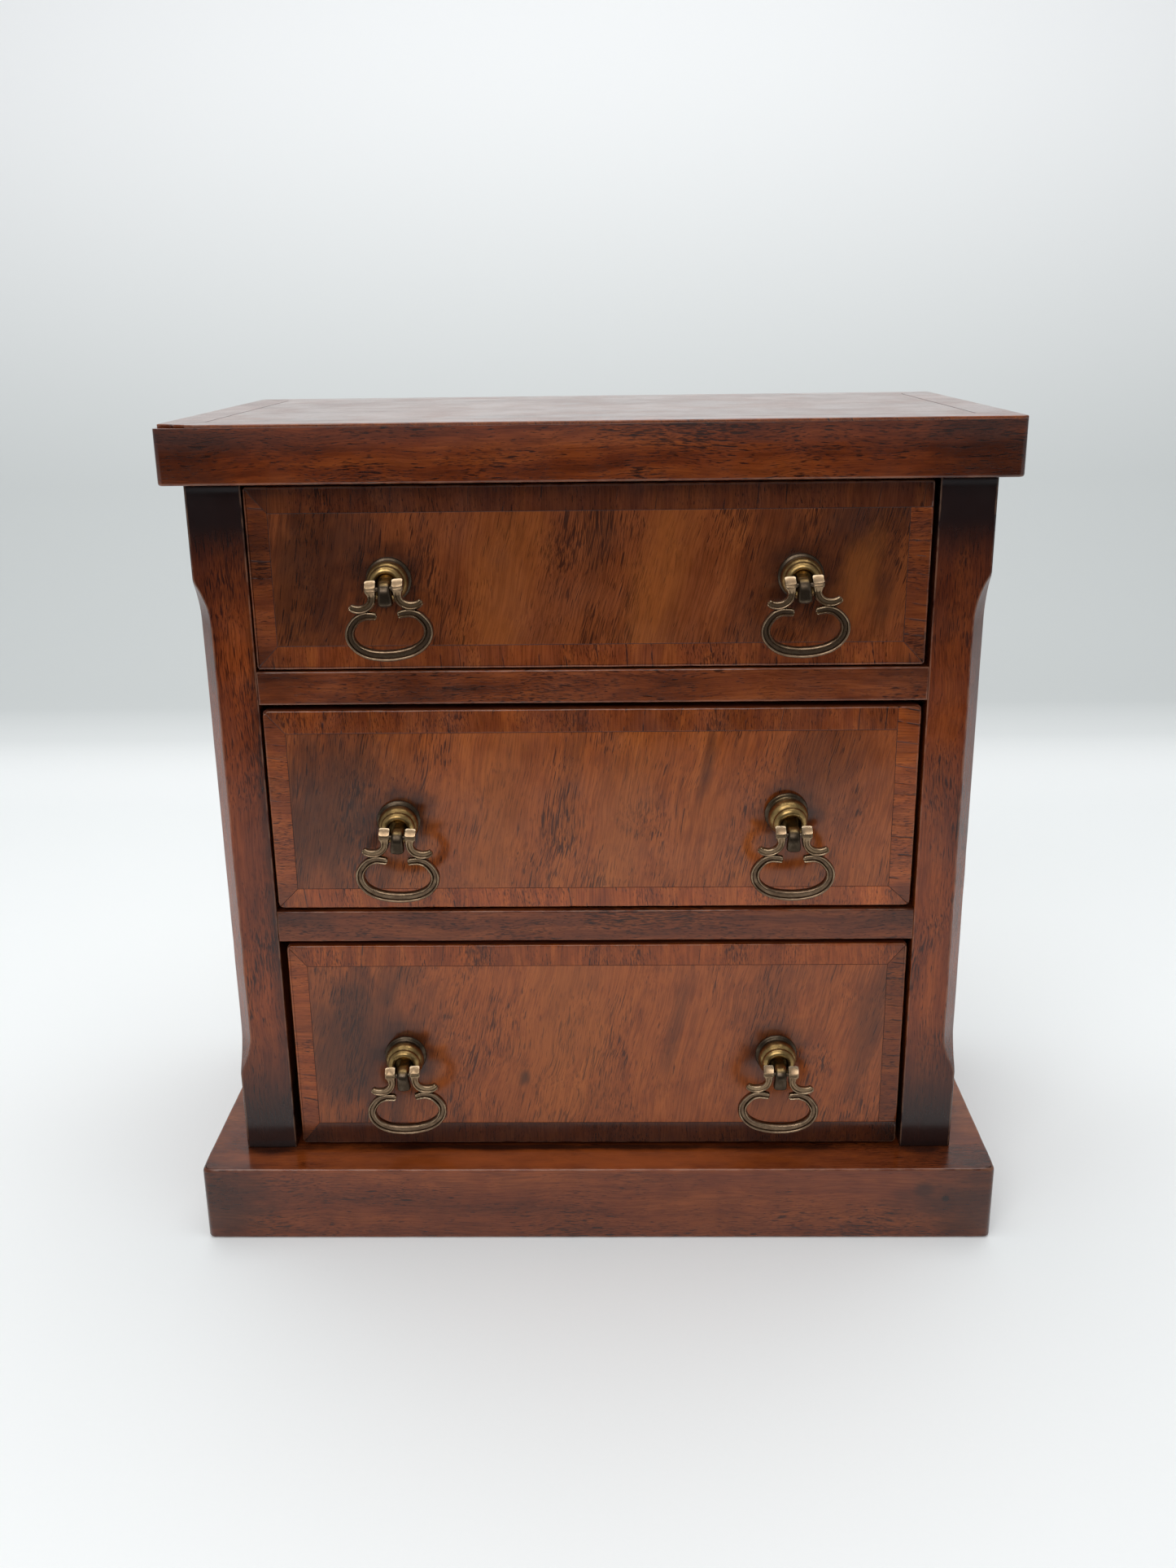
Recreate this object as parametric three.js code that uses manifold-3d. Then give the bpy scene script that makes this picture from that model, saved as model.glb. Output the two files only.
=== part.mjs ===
// A miniature chest of three drawers: mahogany, veneered and crossbanded, with six brass drop handles.
// Millimetres. +X is to the right of someone facing the drawers, +Y is to the back, +Z is up.
// The origin is the centre of the base board's underside.

import * as THREE from 'three';
import { mergeVertices } from 'three/addons/utils/BufferGeometryUtils.js';
import Module from 'manifold-3d';

const wasm = await Module();
wasm.setup();

// ---------------------------------------------------------------- driving dimensions

// Base board
const BASE_WIDTH = 252;
const BASE_DEPTH = 140;
const BASE_THICKNESS = 25.4;
const BASE_CORNER = 2;
const BASE_FRONT_STEP = 13;

// Top board, with its veneer
const TOP_WIDTH = 240;
const TOP_THICKNESS = 16.5;
const TOP_OVERHANG = 5.6;
const TOP_CORNER = 1.2;
const TOP_VENEER = 0.9;

// Carcass
const SIDE_THICKNESS = 16.2;
const RAIL_HEIGHT = 10;
const RAIL_DEPTH = 18;
const DUST_BOARD_THICKNESS = 4;
const BACK_THICKNESS = 4;

// Stopped chamfer on the outer front corner of each side
const CHAMFER_ON_FRONT = 4.4;
const CHAMFER_ON_SIDE = 5.6;
const CHAMFER_FOOT = 27;
const CHAMFER_HEAD = 27;
const CHAMFER_RUN_OUT = 14;

// Drawer openings, and the gaps each front was planed to: left, right, under and over
const DRAWERS = [
  { name: 'lower', opening: 73.4, gaps: { left: 2.1, right: 1.4, under: 1.4, over: 1.7 }, handleDrop: 2.8 },
  { name: 'middle', opening: 66, gaps: { left: 0.7, right: 1.4, under: 1.1, over: 1.9 }, handleDrop: 3.4 },
  { name: 'upper', opening: 54.4, gaps: { left: 0.4, right: 1.4, under: 0.6, over: 1 }, handleDrop: 0.2 },
];

// Drawer box
const FRONT_SET_BACK = 0.4;
const FRONT_THICKNESS = 9;
const FRONT_CORNER = 1;
const FACING_THICKNESS = 1;
const DRAWER_LENGTH = 122;
const DRAWER_SIDE_THICKNESS = 5;
const DRAWER_BACK_THICKNESS = 5;
const DRAWER_BOTTOM_THICKNESS = 3;
const DRAWER_BOTTOM_RISE = 2;
const DRAWER_RUNNING_GAP = 0.3;
const DRAWER_SIDE_DROP = 2;
const DRAWER_BACK_DROP = 4;
const LAP_DEPTH = 5;

// Drop handles: where each pair was drilled, from the middle of the chest
const HANDLE_X = {
  lower: { left: -60, right: 57.5 },
  middle: { left: -57.5, right: 59 },
  upper: { left: -57.3, right: 59.6 },
};

// Boss, outward from the drawer front
const BOSS_DEPTH = 8;
const BOSS_FLANGE_RADIUS = 6.6;
const BOSS_RIM_RADIUS = 4.5;
const BOSS_SEGMENTS = 16;

// Post: a threaded shank that ends in a hanging tab
const SHANK_RADIUS = 1.7;
const SHANK_CLEARANCE = 0.2;
const SHANK_TAIL = 3.4;
const TAB_WIDTH = 3.7;
const NUT_RADIUS = 3.6;
const NUT_THICKNESS = 2.4;
const ROUND_SEGMENTS = 10;

// Pivot pin, through the tab and both ears of the bail
const PIN_OUT = 12.5;
const PIN_DROP = 0.4;
const PIN_RADIUS = 0.7;
const PIN_CLEARANCE = 0.1;

// Bail
const EAR_INSIDE = 2.2;
const EAR_OUTSIDE = 5.1;
const EAR_DEPTH = 3.4;
const EAR_TOP = 2.7;
const EAR_FOOT = -2.6;
const RING_SECTION = 2.4;
const ARM_SECTION = 1.9;
const RING_STEPS = 16;
const ARM_STEPS = 5;

// ---------------------------------------------------------------- worked out from them

const FRONT_Y = -BASE_DEPTH / 2 + BASE_FRONT_STEP;
const BACK_Y = BASE_DEPTH / 2;
const CARCASS_WIDTH = TOP_WIDTH - 2 * TOP_OVERHANG;
const CARCASS_DEPTH = BACK_Y - FRONT_Y;
const TOP_DEPTH = CARCASS_DEPTH + TOP_OVERHANG;
const OPENING_WIDTH = CARCASS_WIDTH - 2 * SIDE_THICKNESS;
const CARCASS_HEIGHT = DRAWERS.reduce((sum, drawer) => sum + drawer.opening, 2 * RAIL_HEIGHT);
const CARCASS_TOP = BASE_THICKNESS + CARCASS_HEIGHT;

// ---------------------------------------------------------------- materials

function material(color, roughness, metalness = 0) {
  return new THREE.MeshStandardMaterial({ color, roughness, metalness });
}

const MAHOGANY = { color: 0x6b3318, roughness: 0.35 };
const VENEER = { color: 0x7a3f1e, roughness: 0.32 };
const DRAWER_WOOD = { color: 0x9a6a44, roughness: 0.6 };
const BRASS = { color: 0x8a6a3a, roughness: 0.4, metalness: 0.9 };

// ---------------------------------------------------------------- solids

// A closed manifold solid from any closed three.js geometry.
function solidFrom(geometry) {
  const bare = geometry.clone();
  bare.deleteAttribute('normal');
  bare.deleteAttribute('uv');
  const merged = mergeVertices(bare, 1e-4);
  const vertProperties = Float32Array.from(merged.attributes.position.array);
  const triVerts = Uint32Array.from(merged.index.array);
  return new wasm.Manifold(new wasm.Mesh({ numProp: 3, vertProperties, triVerts }));
}

function geometryFrom(solid) {
  const mesh = solid.getMesh();
  const geometry = new THREE.BufferGeometry();
  geometry.setAttribute('position', new THREE.BufferAttribute(Float32Array.from(mesh.vertProperties), 3));
  geometry.setIndex(new THREE.BufferAttribute(Uint32Array.from(mesh.triVerts), 1));
  geometry.computeVertexNormals();
  return geometry;
}

function cut(geometry, cutters) {
  return geometryFrom(cutters.reduce((solid, cutter) => solid.subtract(solidFrom(cutter)), solidFrom(geometry)));
}

function join(geometries) {
  return geometryFrom(geometries.map(solidFrom).reduce((sum, next) => sum.add(next)));
}

function addMesh(group, name, geometry, look, position = [0, 0, 0]) {
  const mesh = new THREE.Mesh(geometry, material(look.color, look.roughness, look.metalness));
  mesh.name = name;
  mesh.position.set(...position);
  group.add(mesh);
  return mesh;
}

// A board given by its lowest corner and its size.
function addBoard(group, name, low, size, look) {
  const centre = low.map((value, axis) => value + size[axis] / 2);
  return addMesh(group, name, new THREE.BoxGeometry(...size), look, centre);
}

function roundedRectangle(width, height, radius) {
  const x = width / 2;
  const y = height / 2;
  const shape = new THREE.Shape();
  shape.absarc(x - radius, y - radius, radius, 0, Math.PI / 2);
  shape.absarc(-x + radius, y - radius, radius, Math.PI / 2, Math.PI);
  shape.absarc(-x + radius, -y + radius, radius, Math.PI, 1.5 * Math.PI);
  shape.absarc(x - radius, -y + radius, radius, 1.5 * Math.PI, 2 * Math.PI);
  shape.closePath();
  return shape;
}

function extrude(shape, depth, curveSegments = 3) {
  return new THREE.ExtrudeGeometry(shape, { depth, curveSegments, bevelEnabled: false });
}

// A shape drawn as seen from the front, X to the right and Z up, with its thickness running to the back.
function extrudeToBack(shape, depth) {
  const geometry = extrude(shape, depth);
  geometry.rotateX(Math.PI / 2);
  geometry.translate(0, depth, 0);
  return geometry;
}

// A round bar along Y between two depths.
function barAlongY(radius, yStart, yEnd, segments = ROUND_SEGMENTS) {
  const bar = new THREE.CylinderGeometry(radius, radius, yEnd - yStart, segments);
  bar.translate(0, (yStart + yEnd) / 2, 0);
  return bar;
}

// A round bar along X, centred on the origin.
function barAlongX(radius, length, segments = ROUND_SEGMENTS) {
  const bar = new THREE.CylinderGeometry(radius, radius, length, segments);
  bar.rotateZ(Math.PI / 2);
  return bar;
}

// ---------------------------------------------------------------- carcass

function addBase(group) {
  const outline = roundedRectangle(BASE_WIDTH, BASE_DEPTH, BASE_CORNER);
  addMesh(group, 'base_board', extrude(outline, BASE_THICKNESS), MAHOGANY);
}

function addTop(group) {
  const outline = roundedRectangle(TOP_WIDTH, TOP_DEPTH, TOP_CORNER);
  const middleY = BACK_Y - TOP_DEPTH / 2;
  const boardThickness = TOP_THICKNESS - TOP_VENEER;
  addMesh(group, 'top_board', extrude(outline, boardThickness), MAHOGANY, [0, middleY, CARCASS_TOP]);
  const veneerZ = CARCASS_TOP + boardThickness;
  addMesh(group, 'top_veneer', extrude(outline, TOP_VENEER), VENEER, [0, middleY, veneerZ]);
}

// The waste of one stopped chamfer. It is drawn along the height and inward, and runs out in a
// curve at each end; the drawing is then stood up across the side's outer front corner.
function chamferWaste(hand) {
  const slope = Math.hypot(CHAMFER_ON_FRONT, CHAMFER_ON_SIDE);
  const depth = (CHAMFER_ON_FRONT * CHAMFER_ON_SIDE) / slope;
  const foot = CHAMFER_FOOT;
  const head = CARCASS_HEIGHT - CHAMFER_HEAD;
  const curl = CHAMFER_RUN_OUT * 0.4;
  const outside = -4;
  const profile = new THREE.Shape();
  profile.moveTo(foot, outside);
  profile.lineTo(foot, 0);
  profile.quadraticCurveTo(foot + curl, depth, foot + CHAMFER_RUN_OUT, depth);
  profile.lineTo(head - CHAMFER_RUN_OUT, depth);
  profile.quadraticCurveTo(head - curl, depth, head, 0);
  profile.lineTo(head, outside);
  profile.closePath();
  const reach = 3 * slope;
  const waste = extrude(profile, reach, 6);
  waste.translate(0, 0, -reach / 2);
  const up = new THREE.Vector3(0, 0, 1);
  const inward = new THREE.Vector3(-hand * CHAMFER_ON_SIDE, CHAMFER_ON_FRONT, 0).normalize();
  const across = new THREE.Vector3().crossVectors(up, inward);
  waste.applyMatrix4(new THREE.Matrix4().makeBasis(up, inward, across));
  waste.translate((hand * CARCASS_WIDTH) / 2, FRONT_Y, BASE_THICKNESS);
  return waste;
}

// hand is -1 for the left side and 1 for the right one.
function addSide(group, name, hand) {
  const board = new THREE.BoxGeometry(SIDE_THICKNESS, CARCASS_DEPTH, CARCASS_HEIGHT);
  const x = (hand * (CARCASS_WIDTH - SIDE_THICKNESS)) / 2;
  board.translate(x, (FRONT_Y + BACK_Y) / 2, BASE_THICKNESS + CARCASS_HEIGHT / 2);
  addMesh(group, name, cut(board, [chamferWaste(hand)]), MAHOGANY);
}

function addBack(group) {
  const low = [-OPENING_WIDTH / 2, BACK_Y - BACK_THICKNESS, BASE_THICKNESS];
  addBoard(group, 'back_panel', low, [OPENING_WIDTH, BACK_THICKNESS, CARCASS_HEIGHT], DRAWER_WOOD);
}

// A rail across the front, and the thin dust board that carries the drawer behind it.
function addRail(group, name, z) {
  const left = -OPENING_WIDTH / 2;
  addBoard(group, `${name}_rail`, [left, FRONT_Y, z], [OPENING_WIDTH, RAIL_DEPTH, RAIL_HEIGHT], MAHOGANY);
  const low = [left, FRONT_Y + RAIL_DEPTH, z + RAIL_HEIGHT - DUST_BOARD_THICKNESS];
  const depth = CARCASS_DEPTH - RAIL_DEPTH - BACK_THICKNESS;
  addBoard(group, `${name}_dust_board`, low, [OPENING_WIDTH, depth, DUST_BOARD_THICKNESS], DRAWER_WOOD);
}

// ---------------------------------------------------------------- drop handle

// The turned boss: a flange, a cove, a rounded belly and a bead, with a hollow front.
// Each point is a radius and a distance out from the drawer front.
function bossGeometry() {
  const hole = SHANK_RADIUS + SHANK_CLEARANCE;
  const profile = [
    [hole, 0],
    [BOSS_FLANGE_RADIUS, 0],
    [BOSS_FLANGE_RADIUS, 0.7],
    [5.5, 1.4],
    [5.9, 2.4],
    [6.0, 3.6],
    [5.5, 5],
    [4.9, 5.7],
    [5.0, 6.5],
    [BOSS_RIM_RADIUS, BOSS_DEPTH],
    [BOSS_RIM_RADIUS - 0.6, BOSS_DEPTH],
    [3.3, 4.8],
    [hole, 4.4],
    [hole, 0],
  ];
  const points = profile.map(([radius, out]) => new THREE.Vector2(radius, -out));
  const lathe = new THREE.LatheGeometry(points.reverse(), BOSS_SEGMENTS);
  return geometryFrom(solidFrom(lathe));
}

// The tab hangs from the shank like the short arm of an L. It is drawn outward and up.
function tabGeometry() {
  const neck = 9.4;
  const front = PIN_OUT + 1.8;
  const back = PIN_OUT - 1.8;
  const foot = -5.5;
  const knuckle = 2.1;
  const fillet = 0.7;
  const shape = new THREE.Shape();
  shape.moveTo(neck, SHANK_RADIUS);
  shape.lineTo(front - knuckle, SHANK_RADIUS);
  shape.absarc(front - knuckle, SHANK_RADIUS - knuckle, knuckle, Math.PI / 2, 0, true);
  shape.lineTo(front, foot + fillet);
  shape.absarc(front - fillet, foot + fillet, fillet, 0, -Math.PI / 2, true);
  shape.lineTo(back + fillet, foot);
  shape.absarc(back + fillet, foot + fillet, fillet, -Math.PI / 2, -Math.PI, true);
  shape.lineTo(back, -SHANK_RADIUS);
  shape.lineTo(neck, -SHANK_RADIUS);
  shape.closePath();
  const tab = extrude(shape, TAB_WIDTH);
  const outward = new THREE.Vector3(0, -1, 0);
  const up = new THREE.Vector3(0, 0, 1);
  const across = new THREE.Vector3().crossVectors(outward, up);
  tab.translate(0, 0, -TAB_WIDTH / 2);
  tab.applyMatrix4(new THREE.Matrix4().makeBasis(outward, up, across));
  return tab;
}

function postGeometry(tail) {
  const shank = barAlongY(SHANK_RADIUS, -PIN_OUT + 1, tail);
  const hole = barAlongX(PIN_RADIUS + PIN_CLEARANCE, 2 * TAB_WIDTH);
  hole.translate(0, -PIN_OUT, -PIN_DROP);
  return cut(join([shank, tabGeometry()]), [hole]);
}

function nutGeometry() {
  const body = barAlongY(NUT_RADIUS, 0, NUT_THICKNESS, 6);
  const hole = barAlongY(SHANK_RADIUS + SHANK_CLEARANCE, -1, NUT_THICKNESS + 1);
  return cut(body, [hole]);
}

// A square bar with its corners taken off, swept along a curve.
function sweep(curve, width, steps) {
  const half = width / 2;
  const flat = half / 2;
  const section = new THREE.Shape([
    new THREE.Vector2(half, -flat),
    new THREE.Vector2(half, flat),
    new THREE.Vector2(flat, half),
    new THREE.Vector2(-flat, half),
    new THREE.Vector2(-half, flat),
    new THREE.Vector2(-half, -flat),
    new THREE.Vector2(-flat, -half),
    new THREE.Vector2(flat, -half),
  ]);
  return new THREE.ExtrudeGeometry(section, { steps, extrudePath: curve, bevelEnabled: false });
}

function frontCurve(points) {
  return new THREE.CatmullRomCurve3(points.map(([x, z]) => new THREE.Vector3(x, 0, z)));
}

// The flattened ring, open at the top, where its two ends point at each other.
function ringCurve() {
  const half = [
    [3.6, -7],
    [6.4, -7],
    [8.9, -8.2],
    [10.9, -11.8],
    [9.3, -15.7],
    [5.9, -17.9],
  ];
  const otherHalf = half.map(([x, z]) => [-x, z]).reverse();
  return frontCurve([...half, [0, -18.9], ...otherHalf]);
}

// One arm runs down from its ear and curls outward into a toe that lies along the ring.
function armCurve(hand) {
  const points = [
    [3.8, -1.4],
    [4, -3.4],
    [5.4, -4.9],
    [7.8, -5.4],
    [10, -4.8],
  ];
  return frontCurve(points.map(([x, z]) => [hand * x, z]));
}

// An ear, broad and square on top and narrower below, where the arm starts.
function earGeometry(hand) {
  const outline = [
    [EAR_INSIDE, EAR_TOP],
    [EAR_INSIDE, 0.9],
    [2.9, EAR_FOOT],
    [4.7, EAR_FOOT],
    [EAR_OUTSIDE - 0.2, 0.9],
    [EAR_OUTSIDE, EAR_TOP],
  ];
  const ear = extrudeToBack(new THREE.Shape(outline.map(([x, z]) => new THREE.Vector2(hand * x, z))), EAR_DEPTH);
  ear.translate(0, -EAR_DEPTH / 2, 0);
  return ear;
}

function bailGeometry() {
  const pieces = [-1, 1].flatMap((hand) => [earGeometry(hand), sweep(armCurve(hand), ARM_SECTION, ARM_STEPS)]);
  const ring = sweep(ringCurve(), RING_SECTION, RING_STEPS);
  const pinHole = barAlongX(PIN_RADIUS + PIN_CLEARANCE, 4 * EAR_OUTSIDE);
  return cut(join([ring, ...pieces]), [pinHole]);
}

// faceY is the plane of the drawer front, and nutY is the back of the board behind it.
function addHandle(group, name, x, z, faceY, nutY) {
  const tail = nutY - faceY + SHANK_TAIL;
  const pivot = [x, faceY - PIN_OUT, z - PIN_DROP];
  addMesh(group, `${name}_boss`, bossGeometry(), BRASS, [x, faceY, z]);
  addMesh(group, `${name}_post`, postGeometry(tail), BRASS, [x, faceY, z]);
  addMesh(group, `${name}_nut`, nutGeometry(), BRASS, [x, nutY, z]);
  addMesh(group, `${name}_pin`, barAlongX(PIN_RADIUS, 2 * EAR_OUTSIDE - 0.4), BRASS, pivot);
  addMesh(group, `${name}_bail`, bailGeometry(), BRASS, pivot);
}

// ---------------------------------------------------------------- drawers

// A front or a facing, with its corners eased, drilled for the two posts.
function drilledPanel(width, height, thickness, holes) {
  const panel = extrudeToBack(roundedRectangle(width, height, FRONT_CORNER), thickness);
  const drills = holes.map(([x, z]) => {
    const drill = barAlongY(SHANK_RADIUS + SHANK_CLEARANCE, -1, thickness + 1);
    drill.translate(x, 0, z);
    return drill;
  });
  return { panel, drills };
}

function addDrawer(group, drawer, floorZ) {
  const { name, opening, gaps, handleDrop } = drawer;
  const left = -OPENING_WIDTH / 2 + gaps.left;
  const right = OPENING_WIDTH / 2 - gaps.right;
  const width = right - left;
  const height = opening - gaps.under - gaps.over;
  const middleX = (left + right) / 2;
  const frontFloor = floorZ + gaps.under;
  const middleZ = frontFloor + height / 2;
  const faceY = FRONT_Y + FRONT_SET_BACK;
  const boardY = faceY + FACING_THICKNESS;
  const nutY = boardY + FRONT_THICKNESS;
  const endY = faceY + DRAWER_LENGTH;

  const handleZ = middleZ - handleDrop;
  const holes = Object.values(HANDLE_X[name]).map((x) => [x - middleX, handleZ - middleZ]);
  const centre = (y) => [middleX, y, middleZ];

  const facing = drilledPanel(width, height, FACING_THICKNESS, holes);
  addMesh(group, `${name}_drawer_facing`, cut(facing.panel, facing.drills), VENEER, centre(faceY));

  // The sides lap into a rebate cut down each end of the front board.
  const front = drilledPanel(width, height, FRONT_THICKNESS, holes);
  const lapStart = FRONT_THICKNESS - LAP_DEPTH;
  const rebates = [-1, 1].map((hand) => {
    const rebate = new THREE.BoxGeometry(2 * DRAWER_SIDE_THICKNESS, 2 * LAP_DEPTH, 2 * height);
    rebate.translate((hand * width) / 2, lapStart + LAP_DEPTH, 0);
    return rebate;
  });
  addMesh(group, `${name}_drawer_front`, cut(front.panel, [...front.drills, ...rebates]), MAHOGANY, centre(boardY));

  const sideY = boardY + lapStart;
  const sideFloor = floorZ + DRAWER_RUNNING_GAP;
  const sideHeight = frontFloor + height - DRAWER_SIDE_DROP - sideFloor;
  const sideSize = [DRAWER_SIDE_THICKNESS, endY - sideY, sideHeight];
  addBoard(group, `${name}_drawer_left_side`, [left, sideY, sideFloor], sideSize, DRAWER_WOOD);
  const rightX = right - DRAWER_SIDE_THICKNESS;
  addBoard(group, `${name}_drawer_right_side`, [rightX, sideY, sideFloor], sideSize, DRAWER_WOOD);

  // The bottom lies between the sides, and the back stands on it.
  const insideX = left + DRAWER_SIDE_THICKNESS;
  const insideWidth = width - 2 * DRAWER_SIDE_THICKNESS;
  const bottomZ = frontFloor + DRAWER_BOTTOM_RISE;
  const bottomSize = [insideWidth, endY - nutY, DRAWER_BOTTOM_THICKNESS];
  addBoard(group, `${name}_drawer_bottom`, [insideX, nutY, bottomZ], bottomSize, DRAWER_WOOD);
  const backZ = bottomZ + DRAWER_BOTTOM_THICKNESS;
  const backHeight = sideFloor + sideHeight - DRAWER_BACK_DROP - backZ;
  const backSize = [insideWidth, DRAWER_BACK_THICKNESS, backHeight];
  const backLow = [insideX, endY - DRAWER_BACK_THICKNESS, backZ];
  addBoard(group, `${name}_drawer_back`, backLow, backSize, DRAWER_WOOD);

  for (const [hand, x] of Object.entries(HANDLE_X[name])) {
    addHandle(group, `${name}_${hand}`, x, handleZ, faceY, nutY);
  }
}

// ---------------------------------------------------------------- assembly

const chest = new THREE.Group();

addBase(chest);
addSide(chest, 'left_side', -1);
addSide(chest, 'right_side', 1);
addBack(chest);

let floorZ = BASE_THICKNESS;
DRAWERS.forEach((drawer, index) => {
  addDrawer(chest, drawer, floorZ);
  floorZ += drawer.opening;
  if (index < DRAWERS.length - 1) {
    addRail(chest, index === 0 ? 'lower' : 'upper', floorZ);
    floorZ += RAIL_HEIGHT;
  }
});

addTop(chest);

export default chest;
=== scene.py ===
"""The looks of a miniature chest of three drawers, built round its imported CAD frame.

Metres, in the CAD frame: +X is to the right of someone facing the drawers, +Y is to the back, +Z is up.
Plans and profiles are drawn in millimetres and turned into metres when they are placed.
"""

import math

import bmesh
import bpy
from mathutils import Matrix, Vector, noise


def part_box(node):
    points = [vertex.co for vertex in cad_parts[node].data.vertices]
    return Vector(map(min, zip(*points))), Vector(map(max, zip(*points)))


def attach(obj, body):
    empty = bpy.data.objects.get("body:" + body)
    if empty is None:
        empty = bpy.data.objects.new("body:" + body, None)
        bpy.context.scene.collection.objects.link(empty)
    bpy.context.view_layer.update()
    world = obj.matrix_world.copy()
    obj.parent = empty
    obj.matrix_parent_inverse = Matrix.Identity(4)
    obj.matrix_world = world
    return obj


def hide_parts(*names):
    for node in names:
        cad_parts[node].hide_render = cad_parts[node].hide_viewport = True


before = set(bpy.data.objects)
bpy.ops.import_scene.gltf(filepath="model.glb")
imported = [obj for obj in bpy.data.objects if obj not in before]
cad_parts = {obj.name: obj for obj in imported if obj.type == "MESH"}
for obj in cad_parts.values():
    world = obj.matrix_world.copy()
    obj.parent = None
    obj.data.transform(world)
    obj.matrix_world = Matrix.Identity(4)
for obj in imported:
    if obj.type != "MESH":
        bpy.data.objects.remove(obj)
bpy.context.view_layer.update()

MM = 0.001
DRAWERS = ("lower", "middle", "upper")
HANDS = ("left", "right")

# Angles round the curve of a worn arris, from the side wall to the face
ARRIS_ANGLES = [math.radians(a) for a in (0, 22.5, 45, 67.5, 90)]
ARRIS_WEAR = (0.15, 0.8, 1.0, 0.8, 0.25)
# A ring of points this far inside the arris keeps the face flat; a corner's extra wear ends this far from it
SUPPORT = 0.25
CORNER_REACH = 6.0


# ---------------- node trees


class Tree:
    """Short calls for building a material's nodes."""

    def __init__(self, name):
        self.material = bpy.data.materials.new(name)
        self.material.use_nodes = True
        self.nodes = self.material.node_tree.nodes
        self.links = self.material.node_tree.links
        self.shader = self.nodes["Principled BSDF"]
        self.point = self.nodes.new("ShaderNodeTexCoord").outputs["Object"]

    def feed(self, socket, value):
        if isinstance(value, bpy.types.NodeSocket):
            self.links.new(value, socket)
        else:
            socket.default_value = value

    def add(self, kind, inputs, **settings):
        """A node with these settings, and its inputs fed in their order or by their names."""
        node = self.nodes.new(f"ShaderNode{kind}")
        for name, value in settings.items():
            setattr(node, name, value)
        for key, value in inputs.items() if isinstance(inputs, dict) else enumerate(inputs):
            self.feed(node.inputs[key], value)
        return node

    def math(self, operation, *values):
        return self.add("Math", values, operation=operation).outputs[0]

    def vector(self, operation, *values, output=0):
        return self.add("VectorMath", values, operation=operation).outputs[output]

    def split(self, vector):
        return self.add("SeparateXYZ", (vector,)).outputs

    def step(self, value, start, end, low=0.0, high=1.0):
        """low below start, high above end, and a smooth step between."""
        inputs = (value, start, end, low, high)
        return self.add("MapRange", inputs, interpolation_type="SMOOTHSTEP").outputs[0]

    def stretched(self, turn, offset, sizes, point=None):
        """Coordinates that count features of these sizes in millimetres, along, across and into the grain."""
        inputs = {
            "Vector": self.point if point is None else point, "Location": [value * MM for value in offset],
            "Rotation": turn, "Scale": [size * MM for size in sizes],
        }
        return self.add("Mapping", inputs, vector_type="TEXTURE").outputs[0]

    def noise(self, vector, detail=2.0, roughness=0.5, distortion=0.0, colour=False):
        inputs = {
            "Vector": vector, "Scale": 1.0, "Detail": detail, "Roughness": roughness,
            "Distortion": distortion,
        }
        return self.add("TexNoise", inputs).outputs["Color" if colour else "Fac"]

    def strips(self, along, feature="F1", output="Distance"):
        """Strips of uneven width, about one to each unit of along."""
        inputs = {"W": along, "Scale": 1.0}
        return self.add("TexVoronoi", inputs, voronoi_dimensions="1D", feature=feature).outputs[output]

    def ramp(self, value, stops):
        node = self.add("ValToRGB", (value,))
        elements = node.color_ramp.elements
        while len(elements) < len(stops):
            elements.new(0.5)
        for element, (position, colour) in zip(elements, stops):
            element.position = position
            element.color = (*colour, 1.0)
        return node.outputs[0]

    def mix(self, factor, a, b, blend="MIX"):
        a, b = ((*value, 1.0) if isinstance(value, tuple) else value for value in (a, b))
        return self.add("Mix", {0: factor, 6: a, 7: b}, data_type="RGBA", blend_type=blend).outputs[2]

    def times(self, colour, tint):
        return self.mix(1.0, colour, tint, "MULTIPLY")

    def attribute(self, name):
        return self.add("Attribute", (), attribute_name=name).outputs["Fac"]

    def occlusion(self, distance, inside=False):
        """How open the piece is round a point, or how thick it is there, within a distance in millimetres."""
        inputs = {"Distance": distance * MM}
        return self.add("AmbientOcclusion", inputs, samples=6, only_local=True, inside=inside).outputs["AO"]

    def bump(self, height, distance, strength, normal=None):
        inputs = {"Height": height, "Distance": distance * MM, "Strength": strength}
        if normal is not None:
            inputs["Normal"] = normal
        return self.add("Bump", inputs).outputs[0]

    def finish(self, colour, roughness, normal):
        for name, value in (("Base Color", colour), ("Roughness", roughness), ("Normal", normal)):
            self.feed(self.shader.inputs[name], value)
        return self.material


# ---------------- woods

# The way the grain runs, as the turn that lays +X along it
ALONG_X = (0.0, 0.0, 0.0)
ALONG_Y = (0.0, 0.0, math.radians(90))
ALONG_Z = (0.0, math.radians(-90), 0.0)


def slanting(degrees):
    """Grain on a drawer front that rises to the right at this angle."""
    return (0.0, math.radians(-degrees), 0.0)


# Colours: of dirt in a stain and in a crack; of the painted shadow under the top and the darkening at the
# foot, on the ends of the stiles; of dirt in a seam; and of a rubbed arris
STAIN = (0.012, 0.005, 0.004)
CRACK = (0.02, 0.008, 0.006)
SHADOW_AND_DARKENING = (0.011, 0.006, 0.006)
SEAM_DIRT = (0.012, 0.006, 0.005)
RUBBED = (0.42, 0.22, 0.13)
# The painted shadow and darkening on the stiles fade towards the back: where the fade starts and ends, and how
# much of it is left at the back
DARKENING_FADE_BACK, DARKENING_FADE_FRONT, DARKENING_KEPT_BACK = -18 * MM, -50 * MM, 0.2


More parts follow.
